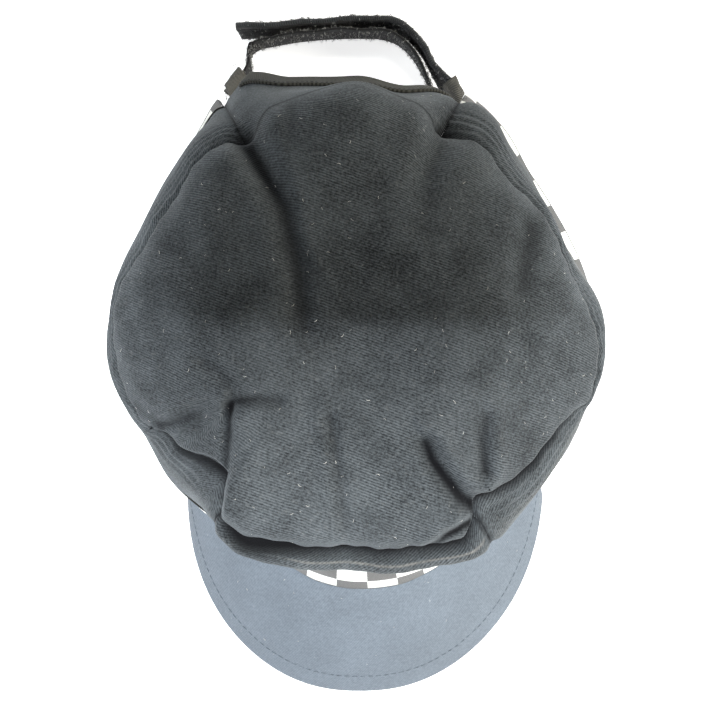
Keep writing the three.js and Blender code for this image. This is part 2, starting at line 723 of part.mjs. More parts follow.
// A strap stands on its edge along a smooth route, and may lean inwards towards its top
function buildStrap(name, strap, look) {
  const curve = new THREE.CatmullRomCurve3(strap.route.map((point) => new THREE.Vector3(point.x, point.y, 0)));
  const stations = 28;
  const stops = Array.from({ length: stations }, (_, i) => i / (stations - 1));
  return sheet(
    name,
    stops,
    [1, 0.5, 0],
    (stop, up, side) => {
      const tangent = curve.getTangent(stop);
      const outwards = new THREE.Vector3(tangent.y, -tangent.x, 0).multiplyScalar(strap.outside);
      const away = (side === 'outer' ? 0.5 : -0.5) * strap.thickness;
      const leaning = smoothStep(STRAP_LEAN.starts, STRAP_LEAN.full, stop);
      const upright = smoothStep(strap.upright.from, strap.upright.to, stop);
      const lean = strap.lean * up * leaning * (1 - upright);
      const point = curve.getPoint(stop).addScaledVector(outwards, away - lean);
      return point.setZ(strap.bottom + up * STRAP_HEIGHT);
    },
    look,
  );
}

// A tab is cloth folded over the end of a strap. It starts square against the end of the wall.
function buildTab(name, tab) {
  const heading = new THREE.Vector2(Math.cos(radians(tab.heading)), Math.sin(radians(tab.heading)));
  const sideways = new THREE.Vector2(-heading.y, heading.x);
  const wallEnd = new THREE.Vector2(-Math.sin(radians(tab.wallAngle)), Math.cos(radians(tab.wallAngle)));
  const near = tab.strap / 2 + GAP;
  const far = near + TAB.cloth;
  const shoulder = 1;
  const fold = [
    { outer: [-far, TAB.bottom], inner: [-near, TAB.bottom] },
    { outer: [-far, TAB.top - shoulder], inner: [-near, TAB.top - TAB.cloth - shoulder / 2] },
    { outer: [-near, TAB.top], inner: [-near / 2, TAB.top - TAB.cloth] },
    { outer: [near, TAB.top], inner: [near / 2, TAB.top - TAB.cloth] },
    { outer: [far, TAB.top - shoulder], inner: [near, TAB.top - TAB.cloth - shoulder / 2] },
    { outer: [far, TAB.bottom], inner: [near, TAB.bottom] },
  ];
  const facing = Math.sign(heading.dot(wallEnd));
  const pointAt = (share, row, side) => {
    const [away, height] = row[side];
    const end = new THREE.Vector2(tab.x, tab.y).addScaledVector(sideways, away);
    const clearance = TAB.clearance;
    const back = (end.dot(wallEnd) * facing - clearance) / heading.dot(wallEnd) / facing;
    const point = end.addScaledVector(heading, -back * (1 - share));
    return new THREE.Vector3(point.x, point.y, height);
  };
  return sheet(name, [0, 0.5, 1], fold, pointAt, LOOK.binding);
}

const cap = new THREE.Group();
cap.position.set(CENTRING.x, CENTRING.y, 0);
cap.add(
  buildTopPanel(),
  buildWallPanel('front_panel', SEAM_ANGLE.frontLeft, SEAM_ANGLE.frontRight),
  buildWallPanel('side_panel_left', SEAM_ANGLE.rearLeft, SEAM_ANGLE.frontLeft),
  buildWallPanel('side_panel_right', SEAM_ANGLE.frontRight, SEAM_ANGLE.rearRight + 360),
  buildChequeredBand(),
  buildPeak(),
  buildArchBinding(),
  buildTab('tab_left', TAB_LEFT),
  buildTab('tab_right', TAB_RIGHT),
  buildStrap('strap_outer', OUTER_STRAP, LOOK.pile),
  buildStrap('strap_inner', INNER_STRAP, LOOK.hook),
);

const police_cap = new THREE.Group();
police_cap.add(cap);
export default police_cap;
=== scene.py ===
"""Looks of a soft police cap that lies on a table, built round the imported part.

Shapes are worked out in millimetres in the crown's own frame: angles go round the crown's
axis from +X towards +Y, so 90 is the rear and 270 the front. A place is a number along the
crown's profile, from the middle of the top at 0 down to the rim at 7.
"""

import logging
import math
from dataclasses import dataclass
from enum import Enum
from typing import Callable, NamedTuple, Sequence

import bpy
import numpy as np
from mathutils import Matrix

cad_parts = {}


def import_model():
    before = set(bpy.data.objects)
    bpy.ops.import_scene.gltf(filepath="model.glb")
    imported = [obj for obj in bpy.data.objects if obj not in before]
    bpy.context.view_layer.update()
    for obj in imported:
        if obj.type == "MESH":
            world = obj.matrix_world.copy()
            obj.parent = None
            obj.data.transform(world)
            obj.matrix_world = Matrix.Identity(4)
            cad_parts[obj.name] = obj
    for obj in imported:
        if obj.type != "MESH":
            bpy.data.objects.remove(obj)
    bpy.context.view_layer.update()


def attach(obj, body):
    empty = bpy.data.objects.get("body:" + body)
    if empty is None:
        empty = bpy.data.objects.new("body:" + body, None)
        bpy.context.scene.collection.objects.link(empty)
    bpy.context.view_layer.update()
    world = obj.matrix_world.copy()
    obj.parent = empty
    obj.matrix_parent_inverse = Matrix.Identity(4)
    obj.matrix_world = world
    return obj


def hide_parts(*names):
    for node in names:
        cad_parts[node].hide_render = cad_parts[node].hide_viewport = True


LOG = logging.getLogger("police_cap")
MM = 0.001
CENTRING = np.array([-2.67, 6.85, 0.0])
FULL_TURN = 360.0
Socket = bpy.types.NodeSocket
Material = bpy.types.Material
Piece = bpy.types.Object


class Place(float, Enum):
    """Named places along a crown profile, after the middle of the top at 0."""

    HALFWAY = 1.0
    CREST = 2.0
    SEAM = 3.0
    ROLL = 4.0
    BAND_TOP = 5.0
    FLARE = 6.0
    HEM = 7.0


class Seam(float, Enum):
    """Angles of the four upright seams, in degrees."""

    REAR_RIGHT = 65.5
    REAR_LEFT = 120.0
    FRONT_LEFT = 234.0
    FRONT_RIGHT = 303.0


class Slot(str, Enum):
    """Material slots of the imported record."""

    CROWN = "crown_cloth"
    PEAK = "peak_cloth"
    RIBBON = "chequered_ribbon"
    BINDING = "binding_tape"
    PILE = "strap_pile"
    HOOKS = "strap_hooks"


class RimRow(NamedTuple):
    """Rim of the walls at one angle, and how far the lowest row of checks leans in."""

    angle: float
    radius: float
    height: float
    lean: float


class RingRow(NamedTuple):
    """One point of a ring round the crown."""

    angle: float
    radius: float
    height: float


class EdgeRow(NamedTuple):
    """Edge of the top panel, with the crest that lies inside it."""

    angle: float
    radius: float
    height: float
    inset: float
    rise: float


class ArchRow(NamedTuple):
    """Height of the rear opening's edge."""

    angle: float
    height: float


class Crease(NamedTuple):
    """A fold in the top panel: a valley along a line, with a softer ridge beside it."""

    line: tuple
    width: float
    depth: float
    ridge: float


HEM = [RimRow(*row) for row in (
    (0, 96.5, 0.6, 6), (12, 94.5, 0, 8), (30, 93, 0, 8.5), (42, 94.3, 0, 8.5), (55, 101.3, 0, 8),
    (65.5, 105, 0, 5), (92, 105, 0, 4), (118, 109, 0, 8), (126, 103.2, 0, 8), (135, 95.8, 0, 4),
    (145, 92, 0, 3), (165, 91, 0, 2), (182, 91, 0, 2), (196, 89, 3, 2), (210, 86, 8, 2),
    (225, 83.4, 16, 2), (240, 84.2, 27, 3), (250, 83.6, 33, 4), (255, 84.6, 35.5, 5),
    (262, 87.1, 37.4, 6.5), (270, 88.5, 38, 6.5), (279, 88.8, 37, 6.5), (287, 87.6, 34.5, 5.5),
    (294, 86.4, 31, 4.5), (300, 86.4, 27, 4), (315, 86.8, 16, 2), (330, 88.3, 8, 2), (346, 92, 3, 3),
)]
BAND_TOP = [RingRow(*row) for row in (
    (0, 85.5, 35), (15, 81.5, 33.5), (30, 79.5, 33), (50, 83.5, 33), (64, 88.5, 33), (72, 91, 33),
    (79, 92.5, 33), (90, 97, 33), (99, 97, 33), (106, 97.5, 33), (112, 98, 33), (118, 95, 33),
    (126, 90, 33), (135, 86, 33), (150, 82, 33), (165, 83, 34), (180, 85, 35), (198, 82.3, 38),
    (209.5, 78.8, 42), (222, 77.3, 50), (235, 75.5, 57.5), (250, 71.5, 65.5), (270, 70.5, 69),
    (288, 72, 66), (302, 76, 59), (312, 78.5, 52), (324, 79.4, 46), (340, 82.6, 40),
)]
ROLL = [RingRow(*row) for row in (
    (0, 82, 54), (17, 76, 54), (27, 74.8, 55), (35, 74.4, 55), (44, 76.8, 55), (50, 79, 55),
    (56.5, 82.4, 55), (61, 83.2, 55), (65.5, 82, 55), (72, 80.4, 55), (79, 78.4, 56), (90, 77.8, 56),
    (99, 79.9, 56), (106.5, 82.5, 54), (113, 84, 52.5), (118, 83, 53), (126, 82, 54), (135, 80.2, 55),
    (150, 77, 54), (180, 80.5, 54), (200, 78.5, 55), (210, 73.5, 61), (222, 69.8, 73), (229, 68.5, 78),
    (236, 71.5, 81), (246, 72.3, 84), (270, 70, 84.5), (288, 73, 84), (301, 75.5, 80), (310, 75, 74),
    (320, 75.3, 69), (333, 76.8, 62), (344, 80.5, 56),
)]
TOP_EDGE = [EdgeRow(*row) for row in (
    (5, 73.3, 67, 9, 9), (17, 69.7, 68, 9, 9), (33, 68, 69, 9, 8), (44, 66, 70, 8, 7),
    (56, 69.3, 70, 8, 7), (65.5, 67.5, 69, 8, 6), (75, 72, 71, 9, 8), (92, 74, 72, 10, 9),
    (110, 72, 71, 9, 8), (118.5, 67.5, 69, 8, 6), (126, 70.5, 70, 9, 8), (142, 69.4, 69, 9, 9),
    (155, 69, 68, 9, 9), (169, 73.5, 67, 9, 9), (184, 75, 66, 9, 9), (202, 73.4, 66, 9, 9),
    (206, 71.5, 66, 8, 8), (209, 66, 69, 7, 6), (215, 63, 74, 7, 5), (220, 58.7, 80, 6, 4),
    (225, 56.8, 83.5, 6, 3), (229, 56.6, 85, 6, 3), (232, 61.2, 85, 5, 5), (236, 67, 84.5, 5, 6),
    (243, 68.4, 84, 5, 7), (257, 65, 84.5, 5, 7), (269, 64, 85, 5, 7), (282, 65, 84.5, 5, 7),
    (290, 67.8, 84, 5, 7), (296.5, 69.2, 83.5, 5, 6.5), (301, 67, 83.5, 5.5, 5.5),
    (305.5, 61.4, 84, 6, 4), (311, 63.6, 82, 6, 5), (319, 66, 78, 7, 6), (332, 69.2, 72, 8, 7),
    (339, 73, 68, 8, 8), (343, 77, 66, 9, 9), (355, 76.5, 66, 9, 9),
)]
ARCH = [ArchRow(*row) for row in (
    (65.5, 25), (67.5, 27.5), (70, 33), (73.5, 40.5), (79, 46), (90, 48.5), (104, 47), (110.5, 40.5),
    (114, 33), (116.3, 27.5), (118, 25),
)]
CREASES = {
    "left valley": Crease(((-35, 60), (-27, 46), (-20, 34), (-16, 17), (-14, 0)), 3.6, 2.8, 1.1),
    "rear valley": Crease(((-19, 68), (-18.5, 61), (-19, 53)), 2.6, 0.9, 0.3),
    "front left corner": Crease(((-35.2, -23), (-33.4, -21.4), (-27, -20.5), (-21, -21)), 2.0, 2.6, 0.9),
    "front left crease": Crease(((-35.2, -22), (-35.6, -30), (-36.2, -37), (-37, -43)), 1.5, 2.6, 1.0),
    "left tuck": Crease(((-43, -10.5), (-38, -13), (-35, -17)), 2.2, 1.2, 0.5),
    "left pleat": Crease(((-59, -29.5), (-52, -27.5), (-45, -25.5)), 2.4, 2.0, 0.9),
    "front line": Crease(((-6.5, -26), (-4.6, -37), (-2.3, -56)), 1.8, 1.2, 0.7),
    "right dent": Crease(((53, 29), (49, 11)), 4.6, 1.7, 0.6),
    "right furrow": Crease(((27, 62), (22, 44), (21, 28)), 3.6, 1.0, 0.5),
    "front right dent": Crease(
        ((36.5, -53), (30.3, -48.4), (26.5, -43.5), (22.5, -38), (20.5, -33)), 2.5, 4.6, 2.2,
    ),
    "front right swell": Crease(((37.6, -41), (36.8, -32), (37.6, -26)), 2.2, 2.3, 1.8),
    "side dent": Crease(((-67, -24), (-61, -27)), 3.0, 1.3, 0.5),
    "front fold": Crease(((35.5, -56), (31, -56.6), (26, -59.2), (22.5, -63)), 1.9, 4.0, 1.8),
}
PITS = ((-34.3, 59.9), (28.4, 61.9))
CHECK_TURNS = [
    (118, -0.62), (122.5, 0), (259, 18), (266, 19), (273, 20), (279.8, 21), (286, 22),
    (371.5, 33), (379, 34), (386.5, 35), (393.8, 36), (401, 37), (408, 38), (415.3, 39), (425.5, 40.4),
]
CROWN_HEIGHT = 88.0
DOME_RADIUS = 34.0
DOME_HEIGHT = 87.5
DOME_TILT = 2.5
CHECK_ROW = 12.0
CLOTH = 1.4
RIBBON = 1.0
GAP = 0.3
SEAM_SLIT = 0.006
SEAM_TURN = 0.002


def hermite(
    start: np.ndarray, end: np.ndarray, first: np.ndarray, last: np.ndarray, share: np.ndarray,
) -> np.ndarray:
    """Returns a cubic between two values with the given tangents.

    Args:
        start: Value at share 0.
        end: Value at share 1.
        first: Tangent at share 0.
        last: Tangent at share 1.
        share: Where to read the cubic, from 0 to 1.

    Returns:
        The values at those shares.
    """
    square = share * share
    cube = square * share
    return (
        start * (2 * cube - 3 * square + 1)
        + first * (cube - 2 * square + share)
        + end * (3 * square - 2 * cube)
        + last * (cube - square)
    )


def between_knots(knots: np.ndarray, share: np.ndarray) -> np.ndarray:
    """Returns points of a smooth curve through four knots, between the second and the third.

    Args:
        knots: The knots, with the shape (..., 4, 2).
        share: How far the points are from the second knot to the third, from 0 to 1.

    Returns:
        The points.
    """
    steps = np.diff(knots, axis=-2)
    spans = np.sqrt(np.linalg.norm(steps, axis=-1))[..., None]
    before, between, after = (spans[..., i, :] for i in range(3))
    slope_in, slope, slope_out = (steps[..., i, :] / spans[..., i, :] for i in range(3))
    first = (slope_in * between + slope * before) / (before + between)
    second = (slope * after + slope_out * between) / (between + after)
    return hermite(knots[..., 1, :], knots[..., 2, :], first * between, second * between, share)


def smooth_step(low: float, high: float, value: np.ndarray) -> np.ndarray:
    """Returns 0 below low, 1 above high and a smooth rise between them."""
    share = np.clip((np.asarray(value, float) - low) / (high - low), 0, 1)
    return share * share * (3 - 2 * share)


def window(value: np.ndarray, rise: tuple, fall: tuple) -> np.ndarray:
    """Returns 1 between a rising and a falling step and 0 outside them; each has a start and an end."""
    return smooth_step(*rise, value) * (1 - smooth_step(*fall, value))


def bell(distance: np.ndarray, width: float) -> np.ndarray:
    """Returns 1 at distance 0, falling smoothly on both sides to about a third at the width."""
    return np.exp(-((distance / width) ** 2))


def unit(vectors: np.ndarray) -> np.ndarray:
    """Returns the vectors with their lengths made 1."""
    return vectors / np.linalg.norm(vectors, axis=1, keepdims=True)


def dots(a: np.ndarray, b: np.ndarray) -> np.ndarray:
    """Returns the dot product of each pair of vectors."""
    return np.einsum("ij,ij->i", a, b)


def turned(angle: np.ndarray) -> np.ndarray:
    """Returns angles brought into the range from 0 to 360."""
    return np.mod(angle, FULL_TURN)


def from_right(way: np.ndarray) -> np.ndarray:
    """Returns how far angles are from the right-hand side at 0, from -180 to 180."""
    return np.mod(way + 180, FULL_TURN) - 180


def ring(rows: Sequence[NamedTuple], column: str) -> Callable[[np.ndarray], np.ndarray]:
    """Makes a smooth closed function of the angle from one column of a table.

    Args:
        rows: The table, with an angle in each row.
        column: The column to follow.

    Returns:
        A function from angles to values, with no overshoot between rows.
    """
    angles = np.array([row.angle for row in rows], float)
    values = np.array([getattr(row, column) for row in rows], float)
    widths = np.mod(np.roll(angles, -1) - angles, FULL_TURN)
    slopes = (np.roll(values, -1) - values) / widths
    before = np.roll(slopes, 1)
    total = before + slopes
    same_way = before * slopes > 0
    tangents = np.where(same_way, 2 * before * slopes / np.where(same_way, total, 1), 0)

    def value_at(angle: np.ndarray) -> np.ndarray:
        """Returns the column's values at the angles."""
        wrapped = turned(angle)
        index = np.mod(np.searchsorted(angles, wrapped, side="right") - 1, len(angles))
        after = np.mod(index + 1, len(angles))
        width = widths[index]
        share = np.mod(wrapped - angles[index], FULL_TURN) / width
        return hermite(values[index], values[after], tangents[index] * width, tangents[after] * width, share)

    return value_at


def ripple(x: np.ndarray, y: np.ndarray, wavelength: float, seed: int) -> np.ndarray:
    """Returns a soft uneven surface between about -1 and 1, made of a few crossed waves.

    Args:
        x: First coordinate in millimetres.
        y: Second coordinate in millimetres.
        wavelength: Usual distance between crests.
        seed: Chooses the waves.

    Returns:
        The heights.
    """
    rng = np.random.default_rng(seed)
    waves = 7
    total = np.zeros_like(x)
    for _ in range(waves):
        way = rng.uniform(0, 2 * math.pi)
        length = wavelength * rng.uniform(0.7, 1.6)
        phase = rng.uniform(0, 2 * math.pi)
        total += np.sin((x * math.cos(way) + y * math.sin(way)) * 2 * math.pi / length + phase)
    return total / math.sqrt(waves)


class Crown:
    """The crown's outer face, as a function of the angle and the place along the profile."""

    def __init__(self) -> None:
        """Prepares the rings of the crown's tables."""
        self.hem = {name: ring(HEM, name) for name in ("radius", "height", "lean")}
        self.band_top = {name: ring(BAND_TOP, name) for name in ("radius", "height")}
        self.roll = {name: ring(ROLL, name) for name in ("radius", "height")}
        self.edge = {name: ring(TOP_EDGE, name) for name in ("radius", "height", "inset", "rise")}
        self.arch = ring(ARCH, "height")

    def section(self, angle: np.ndarray) -> np.ndarray:
        """Returns the eight radius and height pairs of the profile at each angle."""
        edge_radius = self.edge["radius"](angle)
        edge_height = self.edge["height"](angle)
        rim = self.hem["height"](angle)
        hem_radius = self.hem["radius"](angle)
        radii = [
            np.zeros_like(angle),
            np.full_like(angle, DOME_RADIUS),
            edge_radius - self.edge["inset"](angle),
            edge_radius,
            self.roll["radius"](angle),
            self.band_top["radius"](angle),
            hem_radius - self.hem["lean"](angle),
            hem_radius,
        ]
        heights = [
            np.full_like(angle, CROWN_HEIGHT),
            DOME_HEIGHT - DOME_TILT * np.sin(np.radians(angle)),
            edge_height + self.edge["rise"](angle),
            edge_height,
            self.roll["height"](angle),
            self.band_top["height"](angle),
            rim + CHECK_ROW,
            rim,
        ]
        return np.stack([np.stack(radii, axis=1), np.stack(heights, axis=1)], axis=2)

    def profile(self, points: np.ndarray, place: np.ndarray) -> np.ndarray:
        """Returns radius and height at a place on a smooth curve through the section's points."""
        last = points.shape[1] - 1
        index = np.minimum(np.floor(place).astype(int), last - 1)
        mirrored = points[:, 1] * np.array([-1.0, 1.0])
        beyond = 2 * points[:, last] - points[:, last - 1]
        longer = np.concatenate([mirrored[:, None], points, beyond[:, None]], axis=1)
        knots = longer[np.arange(len(place))[:, None], index[:, None] + np.arange(4)]
        return between_knots(knots, (place - index)[:, None])

    def creases(self, x: np.ndarray, y: np.ndarray) -> tuple:
        """Returns how far the creases lower the top panel at points in plan, and how much painted shade they
        get there.
        """
        depth = np.zeros_like(x)
        # dark: painted shade along the creases, kept apart from their depth.
        dark = np.zeros_like(x)
        lost_at_end = 0.45
        painted_shade_per_depth, painted_shade_width_share = 0.33, 0.7
        ridge_away, ridge_width, ridge_reach = 1.9, 1.2, 6
        sag = 1.8
        for crease in CREASES.values():
            away = np.full_like(x, np.inf)
            signed = np.zeros_like(x)
            along = np.zeros_like(x)
            line = np.array(crease.line, float)
            lengths = np.linalg.norm(np.diff(line, axis=0), axis=1)
            starts = np.concatenate([[0], np.cumsum(lengths)])
            for start, run, length, begun in zip(line[:-1], np.diff(line, axis=0), lengths, starts[:-1]):
                share = np.clip(((x - start[0]) * run[0] + (y - start[1]) * run[1]) / length**2, 0, 1)
                gap_x = x - start[0] - share * run[0]
                gap_y = y - start[1] - share * run[1]
                distance = np.hypot(gap_x, gap_y)
                side = np.sign(gap_x * run[1] - gap_y * run[0])
                nearer = distance < away
                away = np.where(nearer, distance, away)
                signed = np.where(nearer, distance * side, signed)
                along = np.where(nearer, begun + share * length, along)
            fade = np.clip(1 - lost_at_end * along / starts[-1], 0, 1)
            depth += crease.depth * fade * bell(away, crease.width)
            # Painted shade: the colour darkens along each crease's valley, more where the crease is deeper.
            dark += painted_shade_per_depth * crease.depth * fade * bell(away, painted_shade_width_share * crease.width)
            beside = bell(signed - ridge_away * crease.width, ridge_width * crease.width)
            off_end = bell(np.maximum(away - np.abs(signed), 0), crease.width)
            depth -= crease.ridge * fade * off_end * beside * (away < ridge_reach * crease.width)
        half_width, half_length, forward = 30, 34, 4
        middle = np.exp(-((x / half_width) ** 2) - (((y + forward) / half_length) ** 2))
        return depth + sag * middle, np.clip(dark, 0, 0.9)

    def seam_distance(self, angle: np.ndarray, place: np.ndarray) -> np.ndarray:
        """Returns the distance from the top panel's seam in millimetres, below 0 on the top panel."""
        section = self.section(angle)
        above = place < Place.SEAM
        neighbour = np.where(above[:, None], section[:, 2], section[:, 4])
        return (place - Place.SEAM) * np.linalg.norm(section[:, 3] - neighbour, axis=1)

    def upright_distance(self, angle: np.ndarray, points: np.ndarray) -> np.ndarray:
        """Returns the distance of points from the nearest upright seam in millimetres."""
        way = turned(angle)
        radius = np.hypot(points[:, 0], points[:, 1])
        return np.min([np.abs(np.radians(way - seam)) * radius for seam in Seam], axis=0)

    def allowance(self, angle: np.ndarray, place: np.ndarray) -> np.ndarray:
        """Returns how much deeper the cloth is where it is turned in at a seam."""
        width, deepest, far = 1.3, 1.8, 9
        across = self.upright_distance(angle, self.plain(angle, place)) + far * (place < Place.SEAM - 0.3)
        nearest = np.minimum(np.abs(self.seam_distance(angle, place)), across)
        return deepest * bell(nearest, width) * (place < Place.FLARE)

    def pits(self, points: np.ndarray, width: float) -> np.ndarray:
        """Returns how near the points are to the two pits where the rear seams meet the top, from 0 to 1."""
        return sum(np.exp(-(((points[:, 0] - x) ** 2 + (points[:, 1] - y) ** 2) / width**2)) for x, y in PITS)

    def plain(self, angle: np.ndarray, place: np.ndarray) -> np.ndarray:
        """Returns points of the crown's outer face before the seams sink into it."""
        flat = self.profile(self.section(angle), place)
        x = flat[:, 0] * np.cos(np.radians(angle))
        y = flat[:, 0] * np.sin(np.radians(angle))
        on_top = 1 - smooth_step(Place.CREST, Place.SEAM, place)
        slack = window(place, (Place.HALFWAY - 0.6, Place.CREST), (Place.BAND_TOP, Place.FLARE))
        wall_swell, top_swell, least_radius = 0.55, 0.28, 20
        uneven = wall_swell * ripple(x, y + 0.6 * flat[:, 1], 26, 3) * slack
        uneven += top_swell * ripple(x, y, 34, 5) * on_top
        height = flat[:, 1] - on_top * self.creases(x, y)[0] + 0.5 * uneven
        stretch = 1 + uneven * (1 - on_top) / np.maximum(np.hypot(x, y), least_radius)
        return np.stack([x * stretch, y * stretch, height], axis=1)

    def groove(self, angle: np.ndarray, place: np.ndarray, points: np.ndarray) -> np.ndarray:
        """Returns the depth of the sunk lines along the seams."""
        edge = 3.0
        seam_radius, pucker_length, fold_length = 70, 7.5, 3.4
        pucker_depth, fold_depth, upright_depth, pit_depth = 0.25, 0.5, 1.3, 2.6
        way = turned(angle)
        rear = (Seam.REAR_RIGHT, Seam.REAR_RIGHT + edge), (Seam.REAR_LEFT - edge, Seam.REAR_LEFT)
        behind = window(way, *rear)
        front = window(way, (224, 227), (305, 308))
        distance = self.seam_distance(angle, place)
        away = np.abs(distance)
        width = np.where(distance < 0, 1.15, 2.3)
        depth = (1 - behind) * (2.4 + 0.5 * front) * bell(away, width)
        sway = 2 * np.sin(np.radians(angle) * 5)
        pucker = np.sin(np.radians(angle) * seam_radius * 2 * math.pi / pucker_length + sway)
        depth += (1 - behind) * pucker_depth * pucker * bell(away, 6.0) * smooth_step(0.4, 2.5, away)
        folds = 0.5 + 0.5 * np.sin(distance * 2 * math.pi / fold_length + 1.5 * np.sin(np.radians(way * 9)))
        begun, going_on = smooth_step(1, 4, distance), 1 - smooth_step(9, 16, distance)
        depth += fold_depth * (1 - front) * (1 - behind) * folds * begun * going_on
        below = window(place, (Place.SEAM, Place.ROLL), (Place.BAND_TOP, Place.FLARE))
        upright = bell(self.upright_distance(angle, points), 2.0)
        depth += upright_depth * below * upright + pit_depth * self.pits(points, 3.4)
        return depth

    def shift(self, surface: Callable, angle: np.ndarray, place: np.ndarray) -> np.ndarray:
        """Returns unit normals of a surface of angles and places."""
        turn_step = 0.25
        place_step = 0.012
        low = np.clip(place - place_step, place_step, None)
        high = np.minimum(place + place_step, Place.HEM)
        safe = np.maximum(place, place_step)
        down = surface(angle, high) - surface(angle, low)
        round_ = surface(angle + turn_step, safe) - surface(angle - turn_step, safe)
        return unit(np.cross(down, round_))

    def grooved(self, angle: np.ndarray, place: np.ndarray) -> np.ndarray:
        """Returns points of the crown's outer face with its seams."""
        points = self.plain(angle, place)
        return points - self.shift(self.plain, angle, place) * self.groove(angle, place, points)[:, None]

    def point(self, angle: np.ndarray, place: np.ndarray, outside: np.ndarray) -> np.ndarray:
        """Returns points so far outside the crown's outer face, with level rims.

        Args:
            angle: Angles in degrees.
            place: Places along the profile.
            outside: Distances outside the face in millimetres, below 0 inside it.

        Returns:
            The points, in the crown's frame.
        """
        angle, place, outside = (np.array(a, float) for a in np.broadcast_arrays(angle, place, outside))
        normal = self.shift(self.grooved, angle, place)
        rounding = 1e-9
        normal[place >= Place.HEM - rounding, 2] = 0
        return self.grooved(angle, place) + unit(normal) * outside[:, None]

    def place_at_height(self, angle: np.ndarray, height: np.ndarray) -> np.ndarray:
        """Returns the places on the wall where it reaches the heights."""
        low = np.full_like(angle, float(Place.SEAM))
        high = np.full_like(angle, float(Place.HEM))
        halvings = 18
        for _ in range(halvings):
            middle = (low + high) / 2
            above = self.grooved(angle, middle)[:, 2] > height
            low = np.where(above, middle, low)
            high = np.where(above, high, middle)
        return (low + high) / 2


class Surface(NamedTuple):
    """Points in millimetres, faces, and a coordinate of each point on the flat cloth."""

    points: np.ndarray
    faces: list
    flat: np.ndarray


def grid_faces(columns: int, rows: int, closed: bool = False, start: int = 0) -> list:
    """Returns the faces of a grid whose points are listed column after column.

    Args:
        columns: Number of columns.
        rows: Points in each column.
        closed: True where the last column joins the first.
        start: Index of the first point.

    Returns:
        Faces of four points each.
    """
    faces = []
    for c in range(columns if closed else columns - 1):
        here = start + c * rows
        there = start + ((c + 1) % columns) * rows
        faces.extend((here + r, here + r + 1, there + r + 1, there + r) for r in range(rows - 1))
    return faces


def thickened(outer: np.ndarray, inner: np.ndarray, faces: list, flat: np.ndarray) -> Surface:
    """Joins two layers of matching points into one closed wall.

    Args:
        outer: Points of the layer with the given faces.
        inner: Points of the other layer.
        faces: Faces of the outer layer.
        flat: Coordinate of each point on the flat cloth.

    Returns:
        The closed wall.
    """
    count = len(outer)
    rim = {}
    for face in faces:
        for i, start in enumerate(face):
            end = face[(i + 1) % len(face)]
            if rim.pop((end, start), None) is None:
                rim[(start, end)] = True
    back = [tuple(index + count for index in reversed(face)) for face in faces]
    sides = [(end, start, start + count, end + count) for start, end in rim]
    return Surface(np.concatenate([outer, inner]), faces + back + sides, np.concatenate([flat, flat]))


def facing_out(surface: Surface) -> Surface:
    """Returns the closed surface with its faces turned to point outwards."""
    fans = [(face[0], face[i], face[i + 1]) for face in surface.faces for i in range(1, len(face) - 1)]
    a, b, c = (surface.points[corners] for corners in np.array(fans).T)
    volume = dots(a, np.cross(b, c)).sum()
    if volume > 0:
        return surface
    return Surface(surface.points, [tuple(reversed(face)) for face in surface.faces], surface.flat)


def make_piece(name: str, surface: Surface, material: Material, wear_and_shade: np.ndarray = None) -> Piece:
    """Makes a smooth-shaded Blender object from a surface in the crown's frame.

    Args:
        name: The object's name.
        surface: Its points, faces and flat coordinates, in millimetres.
        material: Its material.
        wear_and_shade: How the cloth has aged at each point, from -1 for painted shade to 1 for faded; 0 if
            not given.

    Returns:
        The object, at the origin of the part's frame.
    """
    mesh = bpy.data.meshes.new(name)
    points = (surface.points + CENTRING) * MM
    mesh.from_pydata(points.tolist(), [], surface.faces)
    loops = np.empty(len(mesh.loops), np.int32)
    mesh.loops.foreach_get("vertex_index", loops)
    uv = mesh.uv_layers.new(name="flat")
    uv.data.foreach_set("uv", surface.flat[loops].astype(np.float32).ravel())
    # The attribute holds faded wear above 0 and painted shade below 0.
    wear_and_shade_value = mesh.attributes.new("wear_and_shade", "FLOAT", "POINT")
    values = np.zeros(len(mesh.vertices)) if wear_and_shade is None else wear_and_shade
    wear_and_shade_value.data.foreach_set("value", values.astype(np.float32))
    mesh.polygons.foreach_set("use_smooth", np.ones(len(mesh.polygons), bool))
    mesh.materials.append(material)
    mesh.update()
    piece = bpy.data.objects.new(name, mesh)
    bpy.context.scene.collection.objects.link(piece)
    return piece


class NodeTree:
    """Builds one tree of nodes, a node at a time."""

    def __init__(self, tree: bpy.types.NodeTree) -> None:
        """Keeps the tree."""
        self.tree = tree

    def node(self, kind: str, inputs: dict = None, **settings: object) -> bpy.types.Node:
        """Adds a node.

        Args:
            kind: The node's Blender type.
            inputs: Socket names or numbers with a value or an output socket for each.
            **settings: Attributes of the node.

        Returns:
            The node.
        """
        node = self.tree.nodes.new(kind)
        for key, value in settings.items():
            setattr(node, key, value)
        for key, value in (inputs or {}).items():
            self.set(node.inputs[key], value)
        return node

    def set(self, socket: Socket, value: object) -> None:
        """Links an output to the socket, or gives the socket a value."""
        if isinstance(value, Socket):
            self.tree.links.new(value, socket)
        else:
            socket.default_value = value


